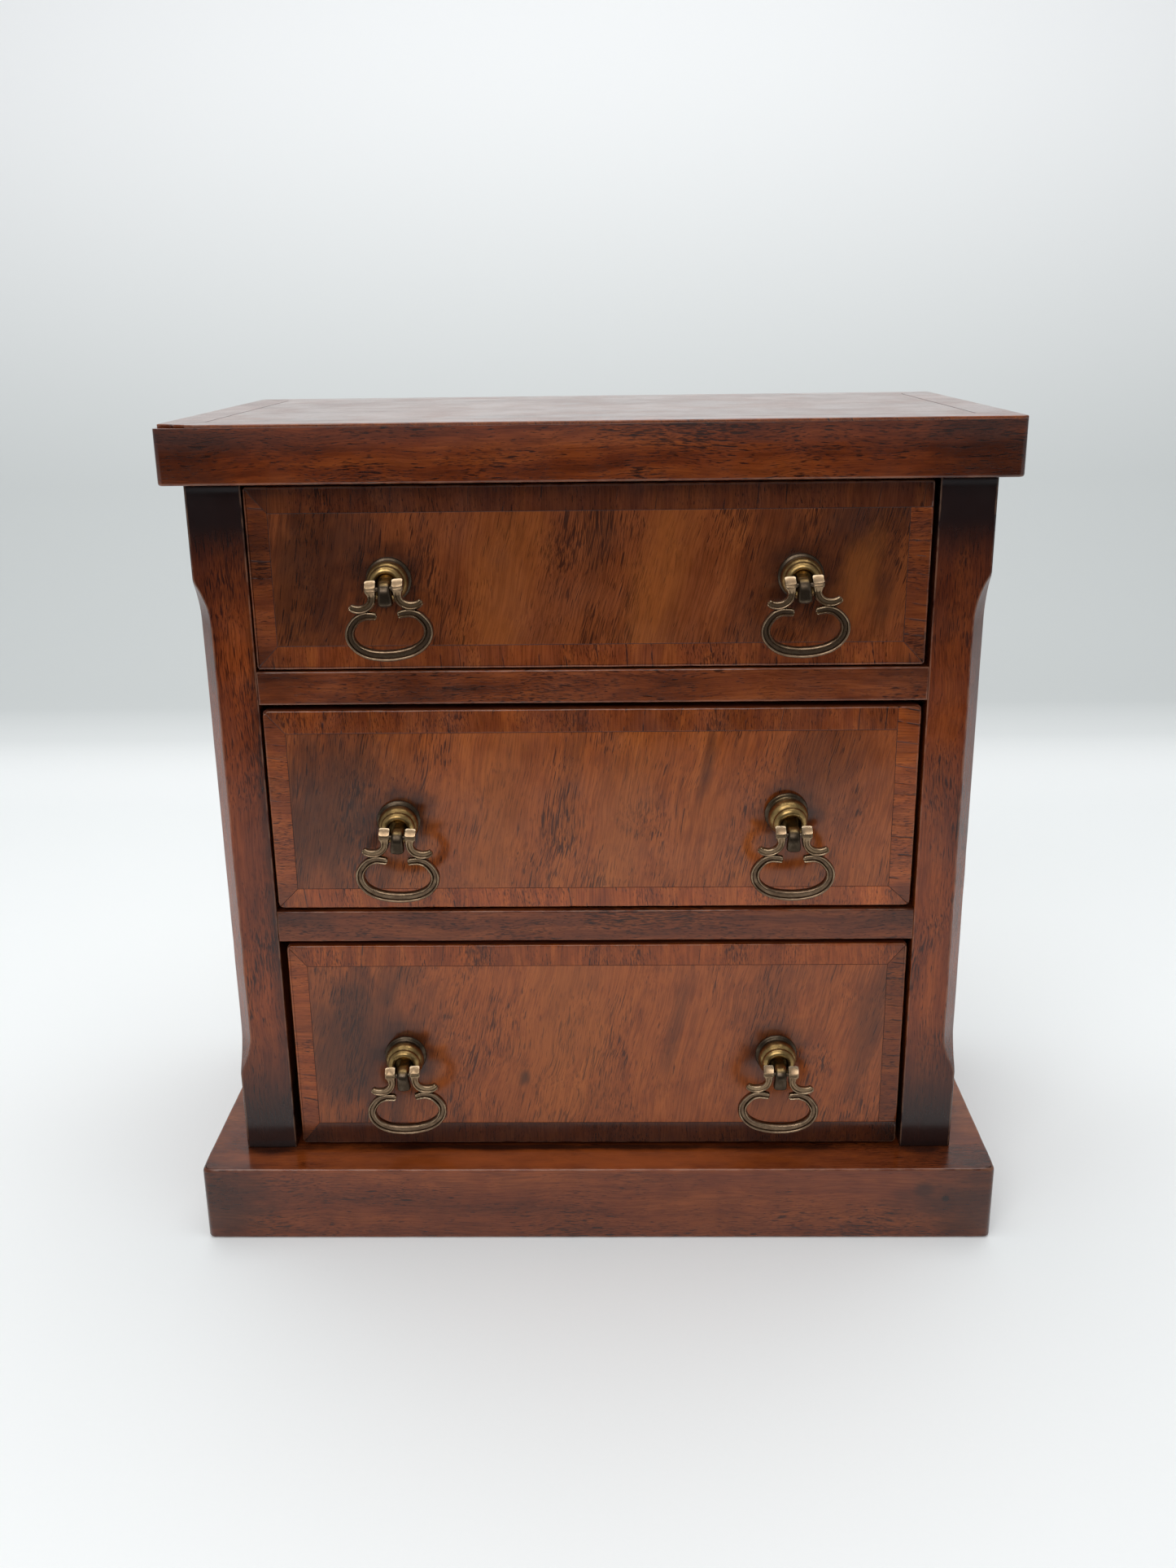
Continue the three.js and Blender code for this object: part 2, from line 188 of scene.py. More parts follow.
def blotch(tree, colour, centre, radii, strength, seed, tint=STAIN, turn=ALONG_X):
    """A soft patch of another colour with a ragged edge, at a place in millimetres."""
    length = tree.vector("LENGTH", tree.stretched(turn, centre, radii), output=1)
    ragged = tree.noise(tree.stretched(turn, (seed, seed * 3, seed * 7), (12, 5, 5)), 3.0)
    edge = tree.math("MULTIPLY_ADD", ragged, 1.1, length)
    mask = tree.step(edge, 0.75, 1.65, strength, 0.0)
    return tree.mix(mask, colour, tint)


def wood(name, turn, colours, seed=0.0, figure=(70, 11), flecks=0.6, fleck_size=(6.5, 0.46), contrast=0.5,
         blur=0.2, patches=(), cracks=None, shadow_and_darkening=(), gloss=(0.12, 0.25), shine=0.5):
    """Polished wood: figure, fibres, dark pore flecks, stains, painted patches of light and shade, cracks,
    bands of painted shadow and darkening, and rubbed arrises.

    colours are those of the dark, middle and light figure. figure and fleck_size are lengths along and across
    the grain in millimetres. cracks is an axis, a spacing in millimetres, a slant and the share that are
    open. The bands of painted shadow under the top and of darkening at the foot are heights in millimetres,
    from one to another, with a strength. gloss is the least and most roughness.
    """
    tree = Tree(name)
    offset = (seed * 37.0, seed * 53.0, seed * 71.0)
    drift = tree.noise(tree.stretched(ALONG_X, offset, (26, 26, 26)), 1.0, colour=True)
    drift = tree.vector("MULTIPLY_ADD", drift, (4 * MM,) * 3, (-2 * MM,) * 3)
    point = tree.vector("ADD", tree.point, drift)

    long, broad = figure
    bands = tree.noise(tree.stretched(turn, offset, (long, broad, broad), point), 3.0, 0.55, 0.25)
    spread = 0.22 / contrast
    bands = tree.step(bands, 0.5 - spread, 0.5 + spread)
    colour = tree.ramp(bands, ((0.0, colours[0]), (0.5, colours[1]), (1.0, colours[2])))

    fibres = tree.noise(tree.stretched(turn, offset, (16, 0.45, 0.45), point), 3.0, 0.65)
    streaks = tree.step(fibres, 0.36, 0.62)
    colour = tree.mix(streaks, tree.times(colour, (0.71, 0.68, 0.65)), tree.times(colour, (1.07, 1.07, 1.07)))
    mottle = tree.noise(tree.stretched(turn, offset, (9, 5, 5), point), 2.0)
    colour = tree.mix(tree.step(mottle, 0.42, 0.75, 0.0, 0.5), colour, tree.times(colour, (0.62, 0.5, 0.45)))

    fleck_length, fleck_width = fleck_size
    crowd = tree.noise(tree.stretched(turn, offset, (34, 13, 13), point), 1.0)
    pores = 0.0
    for share, middle in ((1.0, 0.98), (0.5, 0.94)):
        sizes = (fleck_length * share, fleck_width * share, fleck_width * share)
        fleck = tree.noise(tree.stretched(turn, offset, sizes, point), 1.5, 0.5)
        level = tree.math("MULTIPLY_ADD", crowd, 0.45, fleck)
        start = middle - 0.1 * flecks - blur / 2
        pores = tree.math("MAXIMUM", pores, tree.step(level, start, start + blur, 0.0, 0.6 + 0.4 * share))
    colour = tree.mix(tree.math("MULTIPLY", pores, 0.88), colour, tuple(c * 0.28 for c in colours[0]))

    # Stains and darker patches, and painted patches of light and shade
    for index, patch in enumerate(patches):
        colour = blotch(tree, colour, *patch[:3], seed + index + 1.0, *patch[3:])

    height = tree.math("MULTIPLY_ADD", pores, -0.3, tree.math("MULTIPLY", fibres, 0.4))

    if cracks:
        axis, spacing, slant, amount = cracks
        x, y, z = tree.split(point)
        along, over = {"X": (x, tree.math("ADD", y, z)), "Z": (z, x), "Y": (y, x)}[axis]
        strip = tree.math("MULTIPLY_ADD", over, slant, along)
        strip = tree.math("MULTIPLY_ADD", strip, 1.0 / (spacing * MM), seed * 13.7)
        tint = tree.split(tree.strips(strip, output="Color"))
        warm = tree.times(colour, (1.06, 1.04, 1.0))
        cool = tree.times(colour, (0.9, 0.89, 0.89))
        colour = tree.mix(tree.step(tint[0], 0.2, 0.8), cool, warm)
        split = tree.step(tree.strips(strip, "DISTANCE_TO_EDGE"), 0.3 / spacing, 0.1 / spacing)
        split = tree.math("MULTIPLY", split, tree.step(tint[1], 1.0 - amount, 1.08 - amount))
        gone = tree.noise(tree.stretched(ALONG_X, (seed, 0, 0), (4, 4, 4)), 1.0)
        split = tree.math("MULTIPLY", split, tree.step(gone, 0.4, 0.58))
        colour = tree.mix(tree.math("MULTIPLY", split, 0.85), colour, CRACK)
        height = tree.math("MULTIPLY_ADD", split, -1.2, height)

    # Painted shadow under the top and darkening towards the foot, in bands of height, fading towards the back
    if shadow_and_darkening:
        near_front = tree.step(tree.split(point)[1], DARKENING_FADE_BACK, DARKENING_FADE_FRONT, DARKENING_KEPT_BACK, 1.0)
    for start, end, strength in shadow_and_darkening:
        level = tree.step(tree.split(point)[2], start * MM, end * MM, 0.0, strength)
        colour = tree.mix(tree.math("MULTIPLY", level, near_front), colour, SHADOW_AND_DARKENING)

    worn = tree.attribute("arris")
    rag = tree.noise(tree.stretched(ALONG_X, offset, (5, 5, 5)), 3.0)
    rubbed = tree.math("MULTIPLY", tree.step(worn, 0.1, 0.9), tree.step(rag, 0.35, 0.6))
    pale = tree.mix(0.45, colour, RUBBED)
    colour = tree.mix(tree.math("MULTIPLY", rubbed, 0.5), colour, pale)
    dirt = tree.math("MULTIPLY", tree.step(worn, -0.05, -0.8), tree.step(rag, 0.2, 0.55, 0.45, 0.95))
    colour = tree.mix(dirt, colour, SEAM_DIRT)

    haze = tree.noise(tree.stretched(ALONG_X, offset, (17, 17, 17)), 4.0, 0.6)
    roughness = tree.math("MULTIPLY_ADD", dirt, 0.5, tree.step(haze, 0.3, 0.7, *gloss))
    waves = tree.noise(tree.stretched(turn, offset, (24, 9, 9)), 2.0)
    normal = tree.bump(waves, 0.25, 0.35)
    normal = tree.bump(height, 0.05, 0.5, normal)
    tree.shader.inputs["Specular IOR Level"].default_value = shine
    return tree.finish(colour, roughness, normal)


# Four colours each, from the hollows to what is rubbed bright, and how much rubbing brings each of them
BRASS_STOPS = (0.1, 0.4, 0.68, 1.0)
BRONZE = ((0.060, 0.038, 0.025), (0.17, 0.109, 0.069), (0.34, 0.238, 0.147), (0.64, 0.50, 0.325))
# A lighter bronze for the arms, painted light as if their fronts were lit
PAINTED_LIGHT_BRONZE = ((0.078, 0.050, 0.031), (0.27, 0.179, 0.103), (0.36, 0.255, 0.155), (0.48, 0.37, 0.25))
TARNISH = ((0.020, 0.014, 0.009), (0.058, 0.041, 0.027), (0.13, 0.096, 0.066), (0.34, 0.265, 0.19))
GOLD = ((0.06, 0.040, 0.019), (0.24, 0.152, 0.058), (0.56, 0.365, 0.14), (0.92, 0.64, 0.27))


def brass(name, seed, colours, level=0.0, fade=None, dull=TARNISH):
    """Old lacquered brass: dark bronze with painted shade in the hollows, rubbed brighter on what stands
    proud.

    fade is an axis and two places in millimetres, between which it turns to the dull colours.
    """
    tree = Tree(name)
    offset = (seed * 11.0, seed * 17.0, seed * 23.0)
    hollow = tree.occlusion(1.4)
    proud = tree.occlusion(0.8, inside=True)
    cloud = tree.noise(tree.stretched(ALONG_X, offset, (2.2, 2.2, 2.2)), 4.0, 0.62)
    grain = tree.noise(tree.stretched(ALONG_X, offset, (0.35, 0.35, 0.35)), 2.0)
    rub = tree.step(proud, 0.75, 0.2)
    amount = tree.math("MULTIPLY_ADD", rub, 0.45, tree.math("MULTIPLY_ADD", cloud, 0.7, level - 0.1))
    amount = tree.math("MULTIPLY_ADD", grain, 0.12, amount)
    colour = tree.ramp(amount, tuple(zip(BRASS_STOPS, colours)))
    if fade:
        axis, start, end = fade
        place = tree.split(tree.point)["XYZ".index(axis)]
        dark = tree.ramp(amount, tuple(zip(BRASS_STOPS, dull)))
        colour = tree.mix(tree.step(place, start * MM, end * MM), colour, dark)
    # Painted shade, with the dirt that gathers there, darkens the hollows by how closed in each point is
    shade = tree.step(hollow, 0.35, 0.93, 0.1, 1.0)
    colour = tree.mix(shade, tuple(c * 0.3 for c in colours[0]), colour)
    tree.shader.inputs["Metallic"].default_value = 1.0
    roughness = tree.step(amount, 0.1, 0.9, 0.4, 0.18)
    return tree.finish(colour, roughness, tree.bump(tree.math("ADD", cloud, grain), 0.05, 0.35))


# ---------------- meshes


def shell(name, rings):
    """A closed mesh through rings of equally many points, capped at both ends."""
    count = len(rings[0])
    points = [point for ring in rings for point in ring]
    faces = []
    for row in range(len(rings) - 1):
        low, high = row * count, (row + 1) * count
        faces += [(low + i, low + (i + 1) % count, high + (i + 1) % count, high + i) for i in range(count)]
    faces.append(tuple(range(count)))
    faces.append(tuple(len(points) - count + i for i in range(count)))
    mesh = bpy.data.meshes.new(name)
    mesh.from_pydata(points, [], faces)
    work = bmesh.new()
    work.from_mesh(mesh)
    bmesh.ops.recalc_face_normals(work, faces=work.faces)
    work.to_mesh(mesh)
    work.free()
    return mesh


def skin(name, rings, look, body, replaces=(), slot=None, arris=None, flat_caps=True):
    """A piece made of one shell. arris says how worn each of its points is, and below 0 how dirty."""
    mesh = shell(name, rings)
    mesh.polygons.foreach_set("use_smooth", [True] * (len(mesh.polygons) - 2) + [not flat_caps] * 2)
    if arris is not None:
        layer = mesh.attributes.new("arris", "FLOAT", "POINT")
        layer.data.foreach_set("value", arris)
    return finish_piece(name, mesh, look, body, replaces)


def placed(name, data):
    """An object in the scene that shows this mesh, lamp or camera."""
    thing = bpy.data.objects.new(name, data)
    bpy.context.scene.collection.objects.link(thing)
    return thing


def finish_piece(name, mesh, look, body, replaces=()):
    mesh.materials.append(look)
    piece = placed(name, mesh)
    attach(piece, body)
    if replaces:
        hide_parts(*replaces)
    return piece


def inset(corners, distances):
    """The corners of an anticlockwise outline after each edge has moved inward by its own distance."""
    moved = []
    for i, here in enumerate(corners):
        before = (here - corners[i - 1]).normalized()
        after = (corners[(i + 1) % len(corners)] - here).normalized()
        inward_before = Vector((-before.y, before.x)) * distances[i - 1]
        inward_after = Vector((-after.y, after.x)) * distances[i]
        cross = before.x * after.y - before.y * after.x
        if abs(cross) < 1e-5:
            moved.append(here + inward_before)
        else:
            gap = inward_after - inward_before
            along = (gap.x * after.y - gap.y * after.x) / cross
            moved.append(here + inward_before + before * along)
    return moved


def along_edges(corners, counts):
    """Points all the way round an outline, each edge cut into its own number of parts."""
    points = []
    for i, count in enumerate(counts):
        start, end = corners[i], corners[(i + 1) % len(corners)]
        points += [start.lerp(end, k / count) for k in range(count)]
    return points


def rectangle(x0, x1, y0, y1, radius=0.0, steps=4):
    """An anticlockwise rectangle from its lower left corner.

    With a radius, its corners are arcs, and the first of them is the lower right one.
    """
    if not radius:
        return [Vector(p) for p in ((x0, y0), (x1, y0), (x1, y1), (x0, y1))]
    left, right, low, high = x0 + radius, x1 - radius, y0 + radius, y1 - radius
    centres = ((right, low), (right, high), (left, high), (left, low))
    return [
        Vector((cx + radius * math.cos(a), cy + radius * math.sin(a)))
        for quarter, (cx, cy) in enumerate(centres)
        for a in (math.radians(-90 + 90 * quarter + 90 * k / steps) for k in range(steps + 1))
    ]


def slab(name, corners, place, thickness, look, body, radius=0.5, back_radius=0.2, seams=None, drop=None,
         step=4.0, wear=0.25, corner_wear=1.0, seed=0.0, **kit):
    """A board or a leaf of veneer, drawn as an anticlockwise plan and given its thickness.

    place turns (across, up, out) in millimetres into a point. seams[i] is the small radius of edge i where it
    meets another leaf, or None where it is an outer edge; drop says how far the face falls away at a point.
    corner_wear is how much more than an arris a corner of the plan is rounded.
    """
    seams = seams or [None] * len(corners)
    following = corners[1:] + corners[:1]
    counts = [max(1, math.ceil((after - here).length / step)) for here, after in zip(corners, following)]
    owners = [i for i, count in enumerate(counts) for _ in range(count)]
    starts = [k == 0 for count in counts for k in range(count)]
    base = along_edges(corners, counts)
    worn = [1.0 + wear * noise.noise(Vector((p.x * 0.16 + seed, p.y * 0.16, seed))) for p in base]
    if corner_wear > 1.0:
        far_x, far_y = max(p.x for p in corners), max(p.y for p in corners)
        ends = [Vector((far_x * i, far_y * j)) for i in (-1, 1) for j in (-1, 1)]
        for i, point in enumerate(base):
            near = max(0.0, 1.0 - min((point - end).length for end in ends) / CORNER_REACH)
            worn[i] *= 1.0 + (corner_wear - 1.0) * near

    def ring(angle, face):
        curl = 1.0 - math.cos(angle)
        reach = radius if face else back_radius
        edges = [(reach if seam is None else (seam if face else 0.0)) * curl for seam in seams]
        points = along_edges(inset(corners, edges), counts)
        made = []
        for i, point in enumerate(points):
            owner = owners[i]
            outer = seams[owner] is None or (starts[i] and seams[owner - 1] is None)
            if outer:
                point = base[i].lerp(point, worn[i])
            if not face:
                out = reach * (1.0 - math.sin(angle)) if outer else 0.0
            elif outer:
                out = thickness - radius * worn[i] * (1.0 - math.sin(angle))
            else:
                fall = drop(point) if drop else 0.0
                out = thickness - fall - seams[owner] * (1.0 - math.sin(angle))
            made.append(place(point.x, point.y, out))
        return made

    def wear_of(level):
        return [level if seams[owner] is None else -abs(level) for owner in owners]

    rings = [ring(angle, False) for angle in reversed(ARRIS_ANGLES)] if back_radius else [
        [place(p.x, p.y, 0.0) for p in base]]
    marks = [wear_of(level) for level in reversed(ARRIS_WEAR)] if back_radius else [wear_of(0.0)]
    for angle, level in zip(ARRIS_ANGLES, ARRIS_WEAR):
        rings.append(ring(angle, True))
        marks.append(wear_of(level))
    inner = inset(corners, [(radius if seam is None else seam) + SUPPORT for seam in seams])
    support = along_edges(inner, counts)
    rings.append([place(p.x, p.y, thickness - (drop(p) if drop else 0.0)) for p in support])
    marks.append([0.0] * len(base))
    return skin(name, rings, look, body, arris=[value for mark in marks for value in mark], **kit)


def facing_out(y_back):
    """Leaves that face the front: across is +X, up is +Z and out is -Y."""
    return lambda a, b, out: Vector((a, y_back - out, b)) * MM


def facing_up(z_low):
    return lambda a, b, out: Vector((a, b, z_low + out)) * MM


def facing_side(x_low):
    return lambda a, b, out: Vector((x_low + out, a, b)) * MM


def box_mm(node):
    low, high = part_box(node)
    return low / MM, high / MM


def middle_mm(node):
    low, high = box_mm(node)
    return (low + high) / 2


def board(node, flat, look, body, slot, radius=0.5, corner=0.0, back_radius=None, **kit):
    """A better board in the place of a CAD one. flat is the axis that its thickness runs along."""
    low, high = box_mm(node)
    if flat == "Y":
        plan, place, thickness = (low.x, high.x, low.z, high.z), facing_out(high.y), high.y - low.y
    elif flat == "Z":
        plan, place, thickness = (low.x, high.x, low.y, high.y), facing_up(low.z), high.z - low.z
    else:
        plan, place, thickness = (low.y, high.y, low.z, high.z), facing_side(low.x), high.x - low.x
    corners = rectangle(*plan, corner)
    return slab(f"{node}_shaped", corners, place, thickness, look, body, radius=radius,
                back_radius=back_radius or radius, replaces=(node,), slot=slot, **kit)


# ---------------- curves for the brass


def smooth_path(points, steps):
    """A smooth run through points of any number of values, steps to each gap."""
    made = []
    for i in range(len(points) - 1):
        a, b = points[max(i - 1, 0)], points[i]
        c, d = points[i + 1], points[min(i + 2, len(points) - 1)]
        for k in range(steps):
            t = k / steps
            made.append(tuple(
                0.5 * (2 * q + (r - p) * t + (2 * p - 5 * q + 4 * r - s) * t * t
                       + (3 * q - p - 3 * r + s) * t ** 3)
                for p, q, r, s in zip(a, b, c, d)
            ))
    made.append(tuple(points[-1]))
    return made


def squared(power, sides=20):
    """A section between a circle (power 2) and a square with soft corners."""
    made = []
    for k in range(sides):
        c, s = math.cos(math.tau * k / sides), math.sin(math.tau * k / sides)
        made.append((math.copysign(abs(c) ** (2 / power), c), math.copysign(abs(s) ** (2 / power), s)))
    return made


# How many rings a sloping cut takes to fade out
CUT_FADES = 17


def swept_rings(path, section, across, ends=(True, True), slope=0.0):
    """Rings along a path that lies in a plane. across is the plane's normal.

    Each point of the path is a centre, a width in the plane and a depth across it, all in metres. ends says
    which ends are rounded. slope cuts the first end off at an angle, so that it faces partly across.
    """
    rings = []
    centres = [Vector(p[0]) for p in path]
    for i, (centre, width, depth) in enumerate(path):
        ahead = centres[min(i + 1, len(path) - 1)] - centres[max(i - 1, 0)]
        ahead.normalize()
        side = ahead.cross(across).normalized()
        shape = section(i / (len(path) - 1)) if callable(section) else section
        cut = slope * max(0.0, 1.0 - i / CUT_FADES)
        ring = lambda scale, shift: [
            centre + ahead * (shift + cut * (d + 1) * depth / 2) + side * (s * width / 2 * scale)
            + across * (d * depth / 2 * scale) for s, d in shape
        ]
        reach = min(width, depth) / 2
        if i == 0 and ends[0]:
            rings += [ring(math.cos(a), -reach * math.sin(a) * 0.6) for a in (1.35, 1.0, 0.6, 0.3)]
        rings.append(ring(1.0, 0.0))
        if i == len(path) - 1 and ends[1]:
            rings += [ring(math.cos(a), reach * math.sin(a) * 0.6) for a in (0.3, 0.6, 1.0, 1.35)]
    return rings


# ---------------- camera, light and stage


# The paper's colour, from the floor to high up on the backdrop: painted shade, bright on the floor, darker on
# the lower backdrop and lighter again high up
PAPER_SHADE_TONES = (
    (0.0, (0.92, 0.94, 0.935)), (0.0035, (0.74, 0.765, 0.76)), (0.012, (0.59, 0.617, 0.612)),
    (0.2, (0.56, 0.585, 0.58)), (1.0, (0.92, 0.93, 0.93)),
)


def make_stage():
    """A pale floor that curves up into a leaning backdrop behind the chest."""
    turn, radius, lean = 0.36, 0.14, math.radians(50)
    profile = [(-2.6, 0.0), (-1.0, 0.0), (-0.4, 0.0), (turn - 0.1, 0.0)]
    steps = 12
    for k in range(steps + 1):
        a = lean * k / steps
        profile.append((turn + radius * math.sin(a), radius * (1 - math.cos(a))))
    y, z = profile[-1]
    for reach in (0.1, 0.3, 0.6, 0.9):
        profile.append((y + reach * math.cos(lean), z + reach * math.sin(lean)))
    y, z = profile[-1]
    profile += [(y + 0.05, z + 0.1), (y + 0.06, z + 0.3), (y + 0.06, z + 1.2)]
    half = 2.6
    points = [(x, y, z) for x in (-half, half) for y, z in profile]
    count = len(profile)
    faces = [(i, i + 1, count + i + 1, count + i) for i in range(count - 1)]
    mesh = bpy.data.meshes.new("backdrop")
    mesh.from_pydata(points, [], faces)
    mesh.polygons.foreach_set("use_smooth", [True] * len(faces))
    tree = Tree("pale_paper")
    height = tree.split(tree.point)[2]
    fibre = tree.noise(tree.stretched(ALONG_X, (0, 0, 0), (1.4, 1.4, 1.4)), 3.0)
    # Painted shade: the backdrop darker above the floor, lighter again high up
    tone = tree.ramp(tree.step(height, 0.0, 0.6), PAPER_SHADE_TONES)
    tone = tree.mix(tree.math("MULTIPLY", fibre, 0.05), tone, (0.7, 0.72, 0.715))
    mesh.materials.append(tree.finish(tone, 0.75, tree.bump(fibre, 0.1, 0.1)))
    placed("backdrop", mesh)


def add_light(name, place, target, size, power):
    light = bpy.data.lights.new(name, "AREA")
    light.shape = "RECTANGLE"
    light.size, light.size_y = size
    light.energy = power
    lamp = placed(name, light)
    lamp.location = place
    lamp.rotation_euler = (Vector(target) - Vector(place)).to_track_quat("-Z", "Y").to_euler()


def make_light():
    world = bpy.data.worlds.new("soft_room")
    world.use_nodes = True
    background = world.node_tree.nodes["Background"]
    background.inputs["Color"].default_value = (0.93, 0.96, 1.0, 1.0)
    background.inputs["Strength"].default_value = 0.43
    bpy.context.scene.world = world
    add_light("overhead", (0.0, 0.1, 1.15), (0.0, 0.02, 0.0), (1.1, 0.9), 7.5)
    add_light("window", (-0.25, -1.15, 1.1), (0.0, 0.0, 0.1), (1.1, 0.7), 9.0)
    make_flag()


def make_flag():
    """A dark card behind the camera, as studios hang, so that the polish doesn't veil the wood."""
    mesh = bpy.data.meshes.new("flag")
    half, near, low, high = 0.6, -0.55, 0.0, 0.24
    points = [(-half, near, low), (half, near, low), (half, near, high), (-half, near, high)]
    mesh.from_pydata(points, [], [(0, 1, 2, 3)])
    tree = Tree("black_card")
    weave = tree.noise(tree.stretched(ALONG_X, (0, 0, 0), (2, 2, 2)), 2.0)
    tree.feed(tree.shader.inputs["Base Color"], tree.mix(weave, (0.03, 0.03, 0.03), (0.06, 0.06, 0.06)))
    tree.shader.inputs["Roughness"].default_value = 0.9
    mesh.materials.append(tree.material)
    flag = placed("flag", mesh)
    flag.visible_camera = False
    flag.visible_shadow = False


def make_camera():
    """Slightly above the chest and close to it, looking down at the drawers."""
    place = Vector((0.0071, -0.4636, 0.2820))
    heading, pitch, roll = (math.radians(degrees) for degrees in (1.19, -18.01, 0.75))
    turn = Matrix.Rotation(heading, 3, "Z") @ Matrix.Rotation(pitch, 3, "X") @ Matrix.Rotation(roll, 3, "Y")
    right, forward, up = turn @ Vector((1, 0, 0)), turn @ Vector((0, 1, 0)), turn @ Vector((0, 0, 1))
    data = bpy.data.cameras.new("camera")
    data.sensor_width = 36.0
    data.lens = 32.845
    data.clip_start = 0.01
    camera = placed("camera", data)
    camera.matrix_world = Matrix.Translation(place) @ Matrix((right, up, -forward)).transposed().to_4x4()
    bpy.context.scene.camera = camera
    bpy.context.scene.view_settings.view_transform = "Standard"


make_stage()
make_light()
make_camera()

# ---------------- carcass

# Dark, middle and light figure of each wood
DARK_RED = ((0.045, 0.0085, 0.003), (0.150, 0.029, 0.006), (0.27, 0.064, 0.012))
BASE_RED = ((0.073, 0.015, 0.005), (0.168, 0.036, 0.009), (0.26, 0.064, 0.013))
STILE_RED = ((0.075, 0.014, 0.005), (0.20, 0.040, 0.009), (0.31, 0.070, 0.013))
RAIL_RED = ((0.064, 0.016, 0.007), (0.17, 0.040, 0.012), (0.26, 0.068, 0.018))
SECONDARY = ((0.19, 0.088, 0.034), (0.33, 0.168, 0.068), (0.45, 0.25, 0.108))

# Stains, darker patches and a painted pool of light: the middle of each, its sizes, its strength, and its tint
# if it isn't dirt
BASE_STAINS_AND_LIGHT = (
    # The dirty ends of the front, a painted pool of light as an orange strip along the top, and darker patches
    # at the feet of the sides
    ((-122, -70, 12), (22, 20, 26), 0.62), ((122, -70, 12), (30, 20, 26), 0.62),
    ((-8, -64, 26.5), (140, 9, 4), 0.62, (0.38, 0.085, 0.014)),
    ((-107, -58, 25.4), (12, 5, 4), 0.8), ((107, -58, 25.4), (12, 5, 4), 0.75),
    # A dark line under the lower drawer, the paler ends of the top, and two small spots on the front
    ((0, -57, 25.4), (150, 2.4, 2.4), 0.85), ((124, 0, 25.4), (8, 60, 5), 0.5, (0.40, 0.12, 0.03)),
    ((-124, 0, 25.4), (8, 60, 5), 0.4, (0.36, 0.10, 0.02)),
    ((104, -70, 17.5), (4, 6, 4), 0.55), ((111, -70, 14.7), (1.5, 4, 1.5), 0.85),
)
base_look = wood("base_mahogany", ALONG_X, BASE_RED, seed=1.0, figure=(120, 12), flecks=0.7,
                 fleck_size=(5.0, 0.45), blur=0.12, patches=BASE_STAINS_AND_LIGHT)
board("base_board", "Z", base_look, "carcass", "mahogany", radius=0.6, corner=2.0, back_radius=0.9,
      wear=0.35, corner_wear=2.0, seed=1.0)

TOP_STAINS = (((-116, -63, 247), (22, 12, 20), 0.5), ((114, -63, 247), (30, 12, 20), 0.68))
top_look = wood("top_mahogany", ALONG_X, DARK_RED, seed=2.0, figure=(110, 6), flecks=1.1,
                fleck_size=(4.6, 0.5), blur=0.1, patches=TOP_STAINS)
board("top_board", "Z", top_look, "carcass", "mahogany", radius=0.12, corner=1.8, back_radius=0.75,
      wear=0.35, corner_wear=2.2, seed=2.0)

for rail, shine in (("lower_rail", 0.4), ("upper_rail", 0.49)):
    rail_low, rail_high = box_mm(rail)
    ends = tuple(((x, rail_low.y, rail_high.z), (24, 9, 9), 0.5) for x in (rail_low.x, rail_high.x))
    rail_look = wood(f"{rail}_mahogany", ALONG_X, RAIL_RED, seed=float(len(rail)), figure=(40, 4), flecks=0.9,
                     fleck_size=(4.0, 0.5), blur=0.12, patches=ends, shine=shine)
    board(rail, "Y", rail_look, "carcass", "mahogany", radius=0.45, seed=len(rail))

back_look = wood("back_wood", ALONG_Z, SECONDARY, seed=4.0, figure=(160, 4), gloss=(0.55, 0.75), flecks=0.8,
                 contrast=0.7)
board("back_panel", "Y", back_look, "carcass", "secondary_wood", radius=0.3)
dust_look = wood("dust_wood", ALONG_X, SECONDARY, seed=5.0, figure=(160, 4), gloss=(0.6, 0.8), flecks=0.8)
for dust in ("lower_dust_board", "upper_dust_board"):
    board(dust, "Z", dust_look, "carcass", "secondary_wood", radius=0.25)


